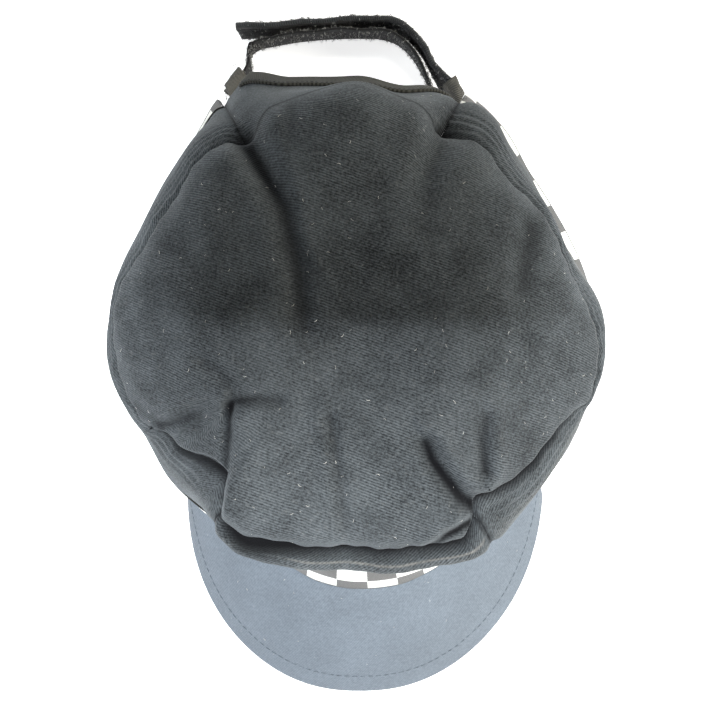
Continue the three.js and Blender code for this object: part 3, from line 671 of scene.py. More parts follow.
class Shader(NodeTree):
    """One node material."""

    def __init__(self, name: str) -> None:
        """Starts an empty material with an output and a principled shader."""
        self.material = bpy.data.materials.new(name)
        self.material.use_nodes = True
        super().__init__(self.material.node_tree)
        self.tree.nodes.clear()
        output = self.node("ShaderNodeOutputMaterial")
        self.surface = self.node("ShaderNodeBsdfPrincipled")
        self.set(output.inputs["Surface"], self.surface.outputs[0])

    def math(self, operation: str, *values: object) -> Socket:
        """Returns the result of a math node on the values."""
        return self.node("ShaderNodeMath", dict(enumerate(values)), operation=operation).outputs[0]

    def mix(self, share: object, first: object, second: object) -> Socket:
        """Returns a mix of two colours; of the node's sockets, 6 and 7 are its colours."""
        return self.node("ShaderNodeMix", {0: share, 6: first, 7: second}, data_type="RGBA").outputs[2]

    def flat(self) -> Socket:
        """Returns the coordinate on the flat cloth, in millimetres."""
        return self.node("ShaderNodeUVMap", uv_map="flat").outputs[0]

    def place(self) -> Socket:
        """Returns the object coordinate, in metres."""
        return self.node("ShaderNodeTexCoord").outputs["Object"]

    def turned(self, vector: object, turn: float, scale: tuple = (1, 1, 1)) -> Socket:
        """Returns a coordinate turned about Z, in degrees, and then scaled."""
        spun = self.node("ShaderNodeMapping", {"Vector": vector, "Rotation": (0, 0, math.radians(turn))})
        return self.node("ShaderNodeMapping", {"Vector": spun.outputs[0], "Scale": scale}).outputs[0]

    def noise(self, vector: object, scale: float, detail: float, rough: float) -> Socket:
        """Returns a noise value between 0 and 1."""
        inputs = {"Vector": vector, "Scale": scale, "Detail": detail, "Roughness": rough}
        return self.node("ShaderNodeTexNoise", inputs).outputs["Fac"]

    def ribs(self, vector: object, pitch: float, wobble: float) -> Socket:
        """Returns straight ribs across X with a pitch in the vector's units."""
        wave_period = 0.314
        inputs = {"Vector": vector, "Scale": wave_period / pitch, "Distortion": wobble}
        inputs |= {"Detail": 2.0, "Detail Scale": 1.6}
        return self.node("ShaderNodeTexWave", inputs, wave_type="BANDS", bands_direction="X").outputs["Fac"]

    def ramp(
        self, value: object, low: float, high: float, first: float = 0.0, last: float = 1.0,
    ) -> Socket:
        """Returns a value moved from one range to another and held at its ends."""
        inputs = {"Value": value, "From Min": low, "From Max": high, "To Min": first, "To Max": last}
        return self.node("ShaderNodeMapRange", inputs).outputs[0]

    def bump(
        self, height: object, strength: float, distance: float, below: object = None,
    ) -> Socket:
        """Returns a normal bumped by the height, over another normal if one is given."""
        inputs = {"Height": height, "Strength": strength, "Distance": distance}
        if below is not None:
            inputs["Normal"] = below
        return self.node("ShaderNodeBump", inputs).outputs[0]

    def wear_and_shade(self) -> Socket:
        """Returns how the cloth has aged, with its painted shade: from -1 for painted shade to 1 for faded.
        """
        return self.node("ShaderNodeAttribute", attribute_name="wear_and_shade").outputs["Fac"]

    def finish(self, **inputs: object) -> Material:
        """Sets the principled shader's inputs, whose names use _ for spaces, and returns the material."""
        for key, value in inputs.items():
            self.set(self.surface.inputs[key.replace("_", " ")], value)
        return self.material


@dataclass(frozen=True)
class BrushedTwill:
    """Dark cotton twill of the crown, with slanting ribs, fuzz, dust, faded ridges and painted shade in its
    seams, creases and pits.
    """

    name: str = "brushed_twill"
    dark: tuple = (0.013, 0.0145, 0.016, 1)
    light: tuple = (0.108, 0.119, 0.128, 1)
    faded: tuple = (0.21, 0.20, 0.185, 1)
    # Colour of the painted shade in seams, creases and pits.
    painted_shade_colour: tuple = (0.004, 0.004, 0.005, 1)
    rib_pitch: float = 0.74
    rib_slant: float = 110.0

    def material(self) -> Material:
        """Returns the material."""
        shader = Shader(self.name)
        flat = shader.flat()
        ribs = shader.ribs(shader.turned(flat, self.rib_slant), self.rib_pitch, 0.9)
        fuzz = shader.ramp(shader.noise(flat, 1.15, 3.0, 0.72), 0.34, 0.66)
        dust = shader.ramp(shader.noise(flat, 0.45, 3.0, 0.7), 0.56, 0.72)
        cloud = shader.noise(shader.place(), 24.0, 3.0, 0.55)
        patch = shader.noise(shader.place(), 90.0, 2.0, 0.5)
        clear = shader.ramp(shader.noise(flat, 0.09, 2.0, 0.6), 0.35, 0.65, 0.16, 0.46)
        shade = shader.math("MULTIPLY_ADD", ribs, clear, shader.math("MULTIPLY", fuzz, 0.48))
        shade = shader.math("ADD", shade, shader.ramp(cloud, 0.3, 0.7, -0.10, 0.14))
        shade = shader.math("ADD", shade, shader.ramp(patch, 0.3, 0.7, -0.06, 0.06))
        colour = shader.mix(shader.ramp(shade, 0.08, 0.86), self.dark, self.light)
        colour = shader.mix(shader.math("MULTIPLY", dust, 0.12), colour, (0.3, 0.3, 0.29, 1))
        wear_and_shade_value = shader.wear_and_shade()
        frayed = shader.math("MULTIPLY", shader.ramp(wear_and_shade_value, 0.0, 1.0), shader.ramp(fuzz, 0.2, 0.9, 0.45, 1.0))
        colour = shader.mix(frayed, colour, self.faded)
        # Painted shade: below 0 the attribute darkens the colour towards near black.
        colour = shader.mix(shader.ramp(wear_and_shade_value, -0.9, 0.0, 1.0, 0.0), colour, self.painted_shade_colour)
        relief = shader.math("MULTIPLY_ADD", ribs, 0.8, shader.math("MULTIPLY", fuzz, 0.5))
        normal = shader.bump(relief, 0.5, 0.00022)
        return shader.finish(
            Base_Color=colour, Roughness=0.95, Normal=normal, Specular_IOR_Level=0.15,
            Sheen_Weight=0.12, Sheen_Roughness=0.5, Sheen_Tint=(0.80, 0.86, 0.92, 1),
        )


@dataclass(frozen=True)
class PeakTwill:
    """Smoother slate cloth drawn tight over the stiff peak."""

    name: str = "peak_twill"
    dark: tuple = (0.088, 0.102, 0.120, 1)
    light: tuple = (0.162, 0.188, 0.222, 1)

    def material(self) -> Material:
        """Returns the material."""
        shader = Shader(self.name)
        place = shader.place()
        ribs = shader.ribs(shader.turned(place, 38, (1000, 1000, 1000)), 0.75, 0.8)
        cross = shader.ribs(shader.turned(place, -40, (1000, 1000, 1000)), 0.7, 0.8)
        fuzz = shader.ramp(shader.noise(place, 1000.0, 3.0, 0.75), 0.34, 0.66)
        cloud = shader.noise(place, 60.0, 4.0, 0.6)
        shade = shader.math("MULTIPLY_ADD", ribs, 0.25, shader.math("MULTIPLY", fuzz, 0.5))
        shade = shader.math("ADD", shade, shader.ramp(cloud, 0.3, 0.7, 0.0, 0.25))
        colour = shader.mix(shade, self.dark, self.light)
        wear_and_shade_value = shader.wear_and_shade()
        colour = shader.mix(wear_and_shade_value, colour, (0.34, 0.36, 0.34, 1))
        relief = shader.math("MULTIPLY_ADD", ribs, 0.5, shader.math("MULTIPLY", cross, 0.4))
        normal = shader.bump(relief, 0.3, 0.00012)
        return shader.finish(
            Base_Color=colour, Roughness=0.85, Normal=normal, Specular_IOR_Level=0.3,
            Sheen_Weight=0.08, Sheen_Roughness=0.4,
        )


@dataclass(frozen=True)
class WovenChecks:
    """Ribbon woven with three rows of black and white checks, and a thin painted shade line along its top
    edge.
    """

    name: str = "woven_checks"
    black: tuple = (0.034, 0.030, 0.029, 1)
    white: tuple = (0.86, 0.85, 0.80, 1)
    # hem: the dark woven selvedge at the bottom, also the colour of the painted shade line along the top
    # edge.
    hem: tuple = (0.018, 0.016, 0.015, 1)
    selvedge: float = 0.13
    top_shade_line_from: float = 2.94

    def material(self) -> Material:
        """Returns the material."""
        shader = Shader(self.name)
        flat = shader.flat()
        ragged = shader.noise(flat, 16.0, 2.0, 0.6)
        shifted = shader.node("ShaderNodeSeparateXYZ", {"Vector": flat})
        edge = shader.ramp(ragged, 0.0, 1.0, -0.022, 0.022)
        across = shader.math("ADD", shifted.outputs[0], edge)
        up = shader.math("ADD", shifted.outputs[1], edge)
        counted = shader.math("ADD", shader.math("FLOOR", across), shader.math("FLOOR", up))
        odd = shader.math("ABSOLUTE", shader.math("MODULO", counted, 2.0))
        colour = shader.mix(odd, self.white, self.black)
        threads = shader.ribs(flat, 0.042, 0.3)
        picks = shader.ribs(shader.turned(flat, 90), 0.05, 0.3)
        weave = shader.math("MULTIPLY", threads, picks)
        colour = shader.mix(shader.math("MULTIPLY", weave, 0.25), colour, (0.4, 0.4, 0.38, 1))
        colour = shader.mix(shader.math("LESS_THAN", up, self.selvedge), colour, self.hem)
        # Painted shade: a thin dark strip along the top edge, where the roll meets the ribbon.
        colour = shader.mix(shader.math("GREATER_THAN", up, self.top_shade_line_from), colour, self.hem)
        normal = shader.bump(weave, 0.5, 0.00015)
        return shader.finish(Base_Color=colour, Roughness=0.75, Normal=normal, Sheen_Weight=0.15)


@dataclass(frozen=True)
class TapeWeave:
    """Narrow woven tape or strap cloth with ribs along it."""

    name: str
    dark: tuple
    light: tuple
    rib_pitch: float = 0.8
    slant: float = 45.0

    def material(self) -> Material:
        """Returns the material."""
        shader = Shader(self.name)
        flat = shader.flat()
        ribs = shader.ribs(shader.turned(flat, self.slant), self.rib_pitch, 0.5)
        across = shader.ribs(shader.turned(flat, self.slant + 90), self.rib_pitch * 0.8, 0.5)
        fuzz = shader.noise(flat, 2.5, 4.0, 0.7)
        shade = shader.math("MULTIPLY_ADD", ribs, 0.5, shader.math("MULTIPLY", fuzz, 0.5))
        colour = shader.mix(shader.ramp(shade, 0.2, 0.8), self.dark, self.light)
        relief = shader.math("MULTIPLY_ADD", ribs, 0.6, shader.math("MULTIPLY", across, 0.4))
        normal = shader.bump(relief, 0.7, 0.0002)
        normal = shader.bump(fuzz, 0.4, 0.0002, normal)
        return shader.finish(
            Base_Color=colour, Roughness=0.95, Normal=normal, Specular_IOR_Level=0.12, Sheen_Weight=0.05,
        )


@dataclass(frozen=True)
class LoopPile:
    """Black brushed pile of the strap, with its woven edge above it."""

    name: str = "loop_pile"
    pile: tuple = (0.009, 0.009, 0.010, 1)
    woven: tuple = (0.075, 0.078, 0.084, 1)
    thread: tuple = (0.22, 0.22, 0.22, 1)
    woven_from: float = 15.8

    def material(self) -> Material:
        """Returns the material."""
        shader = Shader(self.name)
        flat = shader.flat()
        height = shader.node("ShaderNodeSeparateXYZ", {"Vector": flat}).outputs[1]
        ribs = shader.ribs(shader.turned(flat, 35), 0.7, 0.5)
        fuzz = shader.noise(flat, 3.4, 5.0, 0.8)
        ragged = shader.math("ADD", height, shader.ramp(fuzz, 0.0, 1.0, -0.6, 0.6))
        upper = shader.ramp(ragged, self.woven_from - 0.2, self.woven_from + 0.2)
        cloth = shader.mix(shader.ramp(ribs, 0.2, 0.9), (0.03, 0.031, 0.033, 1), self.woven)
        pile = shader.mix(shader.ramp(fuzz, 0.52, 0.7), self.pile, (0.05, 0.05, 0.052, 1))
        colour = shader.mix(upper, pile, cloth)
        near = shader.math("ABSOLUTE", shader.math("SUBTRACT", height, self.woven_from + 0.2))
        colour = shader.mix(shader.ramp(near, 0.15, 0.4, 0.7, 0.0), colour, self.thread)
        normal = shader.bump(fuzz, 0.9, 0.0005)
        normal = shader.bump(ribs, 0.4, 0.0002, normal)
        return shader.finish(
            Base_Color=colour, Roughness=0.95, Normal=normal, Specular_IOR_Level=0.1, Sheen_Weight=0.25,
        )


@dataclass(frozen=True)
class PlainThread:
    """Sewing thread, lint or hook plastic: one colour with a little unevenness."""

    name: str
    colour: tuple
    paler: tuple
    roughness: float

    def material(self) -> Material:
        """Returns the material."""
        shader = Shader(self.name)
        spots = shader.noise(shader.place(), 900.0, 2.0, 0.5)
        colour = shader.mix(shader.ramp(spots, 0.35, 0.65), self.colour, self.paler)
        normal = shader.bump(spots, 0.3, 0.0001)
        return shader.finish(Base_Color=colour, Roughness=self.roughness, Normal=normal)


@dataclass(frozen=True)
class TableTop:
    """Plain white table, a little uneven in tone."""

    name: str = "table_top"
    tone: tuple = (0.86, 0.86, 0.86, 1)

    def material(self) -> Material:
        """Returns the material."""
        shader = Shader(self.name)
        cloud = shader.noise(shader.place(), 3.0, 2.0, 0.5)
        colour = shader.mix(cloud, self.tone, (0.89, 0.89, 0.89, 1))
        return shader.finish(
            Base_Color=colour, Roughness=0.6, Specular_IOR_Level=0.2,
            Emission_Color=self.tone, Emission_Strength=0.9,
        )


class Finishes:
    """All materials of the cap, made once."""

    def __init__(self) -> None:
        """Builds each material."""
        self.twill = BrushedTwill().material()
        self.wall_twill = BrushedTwill("wall_twill", rib_slant=122.0).material()
        self.peak = PeakTwill().material()
        self.checks = WovenChecks().material()
        self.binding = TapeWeave(
            "binding_tape", dark=(0.020, 0.020, 0.018, 1), light=(0.080, 0.078, 0.068, 1), rib_pitch=0.9,
        ).material()
        self.tab = TapeWeave(
            "tab_cloth", dark=(0.045, 0.046, 0.045, 1), light=(0.20, 0.19, 0.17, 1), rib_pitch=0.8, slant=60,
        ).material()
        self.pile = LoopPile().material()
        self.hook_tape = TapeWeave(
            "hook_tape", dark=(0.016, 0.016, 0.017, 1), light=(0.065, 0.065, 0.068, 1),
            rib_pitch=0.6, slant=90,
        ).material()
        self.peak_stitch = self.thread("peak_stitch", (0.05, 0.06, 0.075), (0.10, 0.12, 0.14))
        self.dark_thread = self.thread("dark_thread", (0.02, 0.022, 0.025), (0.05, 0.05, 0.055))
        self.lint = self.thread("lint", (0.30, 0.29, 0.28), (0.62, 0.60, 0.56))
        self.hooks = self.thread("hook_plastic", (0.30, 0.30, 0.30), (0.62, 0.62, 0.60), 0.35)
        self.black_loops = self.thread("pile_loops", (0.012, 0.012, 0.013), (0.05, 0.05, 0.052))
        self.hook_loops = self.thread("hook_loops", (0.02, 0.02, 0.02), (0.55, 0.55, 0.53), 0.4)
        self.fray = self.thread("frayed_thread", (0.10, 0.095, 0.08), (0.24, 0.22, 0.19))
        self.card = self.thread("card", (0.20, 0.20, 0.20), (0.22, 0.22, 0.22))
        self.table = TableTop().material()

    def thread(self, name: str, colour: tuple, paler: tuple, roughness: float = 0.7) -> Material:
        """Returns the material of a plain thread or a plain card."""
        return PlainThread(name, (*colour, 1), (*paler, 1), roughness).material()


def arc_lengths(points: np.ndarray) -> np.ndarray:
    """Returns how far along its own line each point is, for points of shape (lines, points, 3)."""
    steps = np.linalg.norm(np.diff(points, axis=1), axis=2)
    return np.concatenate([np.zeros((len(points), 1)), np.cumsum(steps, axis=1)], axis=1)


def settle(piece: Piece, slot: Slot, *nodes: str) -> Piece:
    """Fixes a finished piece to the cap and hides the solids it stands for."""
    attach(piece, "root")
    if nodes:
        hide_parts(*nodes)
    LOG.info("%s: %d faces", piece.name, len(piece.data.polygons))
    return piece


@dataclass
class TopPanel:
    """The large soft top of the crown, with the flap that runs down the back to the arch."""

    crown: Crown
    finishes: Finishes
    column_step: float = 0.8
    flap_rows: int = 44

    def columns(self) -> np.ndarray:
        """Returns the angles of the disc's columns, starting with those of the back flap."""
        back_turn = Seam.REAR_LEFT - Seam.REAR_RIGHT
        self.back_count = int(back_turn / self.column_step)
        back = np.linspace(Seam.REAR_RIGHT + SEAM_TURN, Seam.REAR_LEFT - SEAM_TURN, self.back_count)
        side_count = int((FULL_TURN - back_turn) / self.column_step)
        sides = np.linspace(Seam.REAR_LEFT + SEAM_TURN, Seam.REAR_RIGHT + FULL_TURN - SEAM_TURN, side_count)
        return np.concatenate([back, sides])

    def build(self) -> Piece:
        """Builds the panel and returns it."""
        angles = self.columns()
        rings = np.concatenate([
            np.linspace(0.12, 1, 28, endpoint=False),
            np.linspace(1, 2, 30, endpoint=False),
            np.linspace(2, 2.6, 10, endpoint=False),
            np.linspace(2.6, Place.SEAM - SEAM_SLIT, 18),
        ])
        angle_grid, place_grid = np.meshgrid(angles, rings, indexing="ij")
        back = angles[: self.back_count]
        bottom = self.crown.place_at_height(back, self.crown.arch(back))
        shares = np.linspace(0, 1, self.flap_rows + 1)[1:]
        flap_places = rings[-1] + (bottom[:, None] - rings[-1]) * shares[None, :]
        flap_angles = np.repeat(back[:, None], self.flap_rows, axis=1)
        angle = np.concatenate([angle_grid.ravel(), flap_angles.ravel()])
        place = np.concatenate([place_grid.ravel(), flap_places.ravel()])
        outer = self.crown.point(angle, place, 0.0)
        inner = self.crown.point(angle, place, -CLOTH - self.crown.allowance(angle, place))
        disc = outer[: angle_grid.size].reshape(len(angles), len(rings), 3)
        flap = outer[angle_grid.size :].reshape(self.back_count, self.flap_rows, 3)
        flat = self.flat_cloth(angles, disc, flap)
        faces = self.faces(len(angles), len(rings))
        pole = disc[:, 0].mean(axis=0) * np.array([0, 0, 1.0])
        outer = np.concatenate([outer, [pole]])
        inner = np.concatenate([inner, [pole - np.array([0, 0, CLOTH])]])
        flat = np.concatenate([flat, [[0, 0]]])
        surface = facing_out(thickened(outer, inner, faces, flat))
        wear_and_shade = np.tile(np.append(self.wear_and_shade(angle, place), 0), 2)
        piece = make_piece("top_cloth", surface, self.finishes.twill, wear_and_shade)
        return settle(piece, Slot.CROWN, "top_panel")

    def faces(self, columns: int, rows: int) -> list:
        """Returns the faces of the disc, of the fan round its middle and of the flap below it.

        Args:
            columns: Number of the disc's columns.
            rows: Points in each of them.

        Returns:
            The faces; the middle's point comes after those of the disc and the flap.
        """
        faces = grid_faces(columns, rows, closed=True)
        start = columns * rows
        middle = start + self.back_count * self.flap_rows
        for c in range(columns):
            faces.append((middle, c * rows, ((c + 1) % columns) * rows))
        last = rows - 1
        for c in range(self.back_count - 1):
            here, there = start + c * self.flap_rows, start + (c + 1) * self.flap_rows
            faces.append((c * rows + last, here, there, (c + 1) * rows + last))
            for r in range(self.flap_rows - 1):
                faces.append((here + r, here + r + 1, there + r + 1, there + r))
        return faces

    def flat_cloth(self, angles: np.ndarray, disc: np.ndarray, flap: np.ndarray) -> np.ndarray:
        """Returns the panel's points as laid out flat round its middle, in millimetres."""
        start = np.linalg.norm(disc[:, :1, :2], axis=2)
        along = arc_lengths(disc) + start
        joined = np.concatenate([disc[: self.back_count, -1:], flap], axis=1)
        below = arc_lengths(joined)[:, 1:] + along[: self.back_count, -1:]
        way = np.radians(angles)
        ray = np.stack([np.cos(way), np.sin(way)], axis=1)
        disc_flat = along[..., None] * ray[:, None, :]
        flap_flat = below[..., None] * ray[: self.back_count, None, :]
        return np.concatenate([disc_flat.reshape(-1, 2), flap_flat.reshape(-1, 2)])

    def wear_and_shade(self, angle: np.ndarray, place: np.ndarray) -> np.ndarray:
        """Returns how faded the cloth is, and below 0 how dark: painted shade in its seams, creases and pits.
        """
        way = turned(angle)
        points = self.crown.plain(angle, place)
        distance = -self.crown.seam_distance(angle, place)
        edge = bell(distance - 1.6, 0.9)
        right = bell(from_right(way) - 8, 26)
        left = bell(way - 168, 30)
        front = window(way, (236, 244), (296, 304))
        faded = edge * (0.5 * right + 0.4 * left + 0.1 * front + 0.08)
        on_top = place < Place.SEAM
        # Painted shade: the creases, the top's seam, the upright seams and the pits darken the colour as if
        # in shade.
        creases = self.crown.creases(points[:, 0], points[:, 1])[1] * on_top
        seam = bell(distance, 1.0) * on_top
        upright = bell(self.crown.upright_distance(angle, points), 1.0) * (place >= Place.SEAM)
        dark = np.maximum.reduce([creases, 0.85 * seam, 0.9 * upright, 0.95 * self.crown.pits(points, 2.4)])
        return np.clip(faded - dark, -1, 1)


@dataclass
class WallPanel:
    """One upright panel of the crown, from the top panel's edge to the rim."""

    crown: Crown
    finishes: Finishes
    name: str
    node: str
    start: float
    end: float
    column_step: float = 0.62

    def build(self) -> Piece:
        """Builds the panel and returns it."""
        count = int((self.end - self.start) / self.column_step)
        angles = np.linspace(self.start + SEAM_TURN, self.end - SEAM_TURN, count)
        places = np.concatenate([
            np.linspace(Place.SEAM + SEAM_SLIT, Place.SEAM + 0.4, 16, endpoint=False),
            np.linspace(Place.SEAM + 0.4, Place.ROLL, 16, endpoint=False),
            np.linspace(Place.ROLL, Place.BAND_TOP, 24, endpoint=False),
            np.linspace(Place.BAND_TOP, Place.HEM, 20),
        ])
        angle_grid, place_grid = np.meshgrid(angles, places, indexing="ij")
        angle, place = angle_grid.ravel(), place_grid.ravel()
        outer = self.crown.point(angle, place, 0.0)
        inner = self.crown.point(angle, place, -CLOTH - self.crown.allowance(angle, place))
        along = arc_lengths(outer.reshape(len(angles), len(places), 3))
        usual_radius = 78.0
        round_ = np.radians(angle_grid) * usual_radius
        flat = np.stack([round_.ravel(), along.ravel()], axis=1)
        faces = grid_faces(len(angles), len(places))
        surface = facing_out(thickened(outer, inner, faces, flat))
        wear_and_shade = np.tile(self.wear_and_shade(angle, place), 2)
        piece = make_piece(self.name, surface, self.finishes.wall_twill, wear_and_shade)
        return settle(piece, Slot.CROWN, self.node)

    def wear_and_shade(self, angle: np.ndarray, place: np.ndarray) -> np.ndarray:
        """Returns how faded the cloth is, most along the roll, and below 0 how dark: painted shade, most in
        the seams and under the top's overhang at the front.
        """
        way = turned(angle)
        points = self.crown.plain(angle, place)
        distance = self.crown.seam_distance(angle, place)
        front = window(way, (232, 240), (298, 306))
        crest = bell(place - 3.62, 0.05) * front * smooth_step(240, 262, way)
        outer = bell(place - 4.1, 0.3)
        right = bell(from_right(way), 40)
        # Painted shade: the dark band along the top seam widens at the front, where the top hangs over the
        # roll.
        painted_shade_width = 1.2 + 2.0 * bell(way - 249, 8) + 0.5 * front
        painted_shade_width += 1.8 * bell(way - 221, 13) + 1.5 * bell(way - 324, 19)
        seam = bell(distance, painted_shade_width)
        # Painted shade also in the upright seams and the pits.
        upright = 0.8 * bell(self.crown.upright_distance(angle, points), 0.9) * (place < Place.FLARE)
        dark = np.maximum.reduce([seam, upright, 0.95 * self.crown.pits(points, 2.4)])
        faded = 0.75 * crest + 0.45 * outer * right + 0.1 * outer
        return np.clip(faded - dark, -1, 1)


@dataclass
class ChequeredBand:
    """The ribbon of three rows of checks round the base of the walls."""

    crown: Crown
    finishes: Finishes
    column_step: float = 0.5
    clear: float = 0.08
    proud: float = 0.6

    def build(self) -> Piece:
        """Builds the ribbon and returns it."""
        start, end = float(Seam.REAR_LEFT), Seam.REAR_RIGHT + FULL_TURN
        angles = np.linspace(start + 0.1, end - 0.1, int((end - start) / self.column_step))
        places = np.linspace(Place.BAND_TOP, Place.HEM, 34)
        angle_grid, place_grid = np.meshgrid(angles, places, indexing="ij")
        angle, place = angle_grid.ravel(), place_grid.ravel()
        outer = self.crown.point(angle, place, self.proud)
        inner = self.crown.point(angle, place, self.clear)
        along = arc_lengths(outer.reshape(len(angles), len(places), 3))
        from_rim = along[:, -1:] - along
        turns = np.array(CHECK_TURNS)
        count = np.interp(angle_grid, turns[:, 0], turns[:, 1])
        rows = 3 * from_rim / np.maximum(from_rim[:, :1], 1)
        even_rows = from_rim / CHECK_ROW
        rows = np.where(from_rim[:, :1] > 3 * CHECK_ROW, rows, even_rows)
        flat = np.stack([count.ravel() + 2, rows.ravel()], axis=1)
        surface = facing_out(thickened(outer, inner, grid_faces(len(angles), len(places)), flat))
        piece = make_piece("chequered_ribbon", surface, self.finishes.checks)
        return settle(piece, Slot.RIBBON, "chequered_band")


@dataclass
class Peak:
    """The curved peak, its root tucked under the rim and its outline a rounded arch."""

    crown: Crown
    finishes: Finishes
    middle: float = 4.2
    rear: float = -55.0
    half_width: float = 70.0
    length: float = 80.5
    veer: float = 0.03
    squareness: float = 2.3
    tip_height: float = 14.0
    side_height: float = 3.4
    thickness: float = 3.4
    tuck: float = 4.5
    swell: float = 2.5
    usual_length: float = 75.0
    root_span: tuple = (221.0, 322.0)
    rim_span: tuple = (184.0, 356.0)

    def point(self, across: np.ndarray, along: np.ndarray) -> np.ndarray:
        """Returns points of the peak's upper face.

        Args:
            across: Shares from the left corner to the right one.
            along: Shares from the root at 0 to the rim at 1; -1 is the end of the tucked part.

        Returns:
            The points.
        """
        root_angle = self.root_span[0] + (self.root_span[1] - self.root_span[0]) * across
        rim_angle = np.radians(self.rim_span[0] + (self.rim_span[1] - self.rim_span[0]) * across)
        power = 2 / self.squareness
        sideways, forward = np.cos(rim_angle), np.abs(np.sin(rim_angle))
        reach = self.length * forward**power
        aside = self.half_width * np.sign(sideways) * np.abs(sideways) ** power
        rim_x = self.middle + aside - self.veer * reach
        rim_z = self.side_height + (self.tip_height - self.side_height) * forward**6
        rim = np.stack([rim_x, self.rear - reach, rim_z], axis=1)
        root_radius = self.crown.hem["radius"](root_angle) + RIBBON + 2 * GAP
        root_radius += np.minimum(along, 0) * self.tuck
        ray = np.stack([np.cos(np.radians(root_angle)), np.sin(np.radians(root_angle))], axis=1)
        level = self.crown.hem["height"](root_angle) - GAP
        root = np.concatenate([ray * root_radius[:, None], level[:, None]], axis=1)
        share = np.clip(along, 0, 1)[:, None]
        point = root + (rim - root) * share
        point[:, 2] += self.swell * np.sin(math.pi * share[:, 0]) * forward
        return point

    def build(self) -> Piece:
        """Builds the peak with a rounded rim and returns it."""
        across = np.linspace(0, 1, 200)
        near_rim = 1 - 0.07 * np.linspace(1, 0, 14)[1:] ** 2
        along = np.concatenate([[-1, -0.5], np.linspace(0, 0.93, 44), near_rim])
        across_grid, along_grid = np.meshgrid(across, along, indexing="ij")
        u, v = across_grid.ravel(), along_grid.ravel()
        top = self.point(u, v)
        from_rim = (1 - v) * self.usual_length
        rounding = np.clip(from_rim / (0.5 * self.thickness), 0, 1)
        half = 0.5 * self.thickness * np.sqrt(np.clip(1 - (1 - rounding) ** 2, 0.02, 1))
        middle = top - np.array([0, 0, 0.5 * self.thickness])
        upwards = np.stack([np.zeros_like(half), np.zeros_like(half), half], axis=1)
        faces = grid_faces(len(across), len(along))
        surface = facing_out(thickened(middle + upwards, middle - upwards, faces, top[:, :2]))
        wear_and_shade = np.tile(bell(from_rim, 1.2) * 0.5, 2)
        piece = make_piece("peak_cloth", surface, self.finishes.peak, wear_and_shade)
        return settle(piece, Slot.PEAK, "peak")

    def stitch_line(self, inset: float, count: int) -> np.ndarray:
        """Returns points on the upper face along the rim, so far inside it.

        Args:
            inset: Distance from the rim in millimetres.
            count: Number of points.

        Returns:
            The points, from the left corner to the right one.
        """
        across = np.linspace(0.02, 0.98, count)
        rim = self.point(across, np.ones(count))
        root = self.point(across, np.zeros(count))
        share = 1 - inset / np.maximum(np.linalg.norm(rim - root, axis=1), inset + 1)
        return self.point(across, share)


class Spline:
    """A smooth line through points in plan."""

    def __init__(self, route: Sequence[tuple]) -> None:
        """Keeps the route's points."""
        self.route = np.array(route, float)

    def points(self, count: int) -> tuple:
        """Returns evenly spaced points of the line, with its direction and distance at each.

        Args:
            count: Number of points.

        Returns:
            The points, the unit tangents and the distances along the line, in plan.
        """
        before = 2 * self.route[0] - self.route[1]
        beyond = 2 * self.route[-1] - self.route[-2]
        knots = np.concatenate([[before], self.route, [beyond]])
        parts = 24
        fine = []
        for i in range(len(self.route) - 1):
            share = np.linspace(0, 1, parts, endpoint=i == len(self.route) - 2)[:, None]
            fine.append(between_knots(knots[i : i + 4], share))
        line = np.concatenate(fine)
        run = np.concatenate([[0], np.cumsum(np.linalg.norm(np.diff(line, axis=0), axis=1))])
        stops = np.linspace(0, run[-1], count)
        even = np.stack([np.interp(stops, run, line[:, k]) for k in range(2)], axis=1)
        return even, unit(np.gradient(even, axis=0)), stops


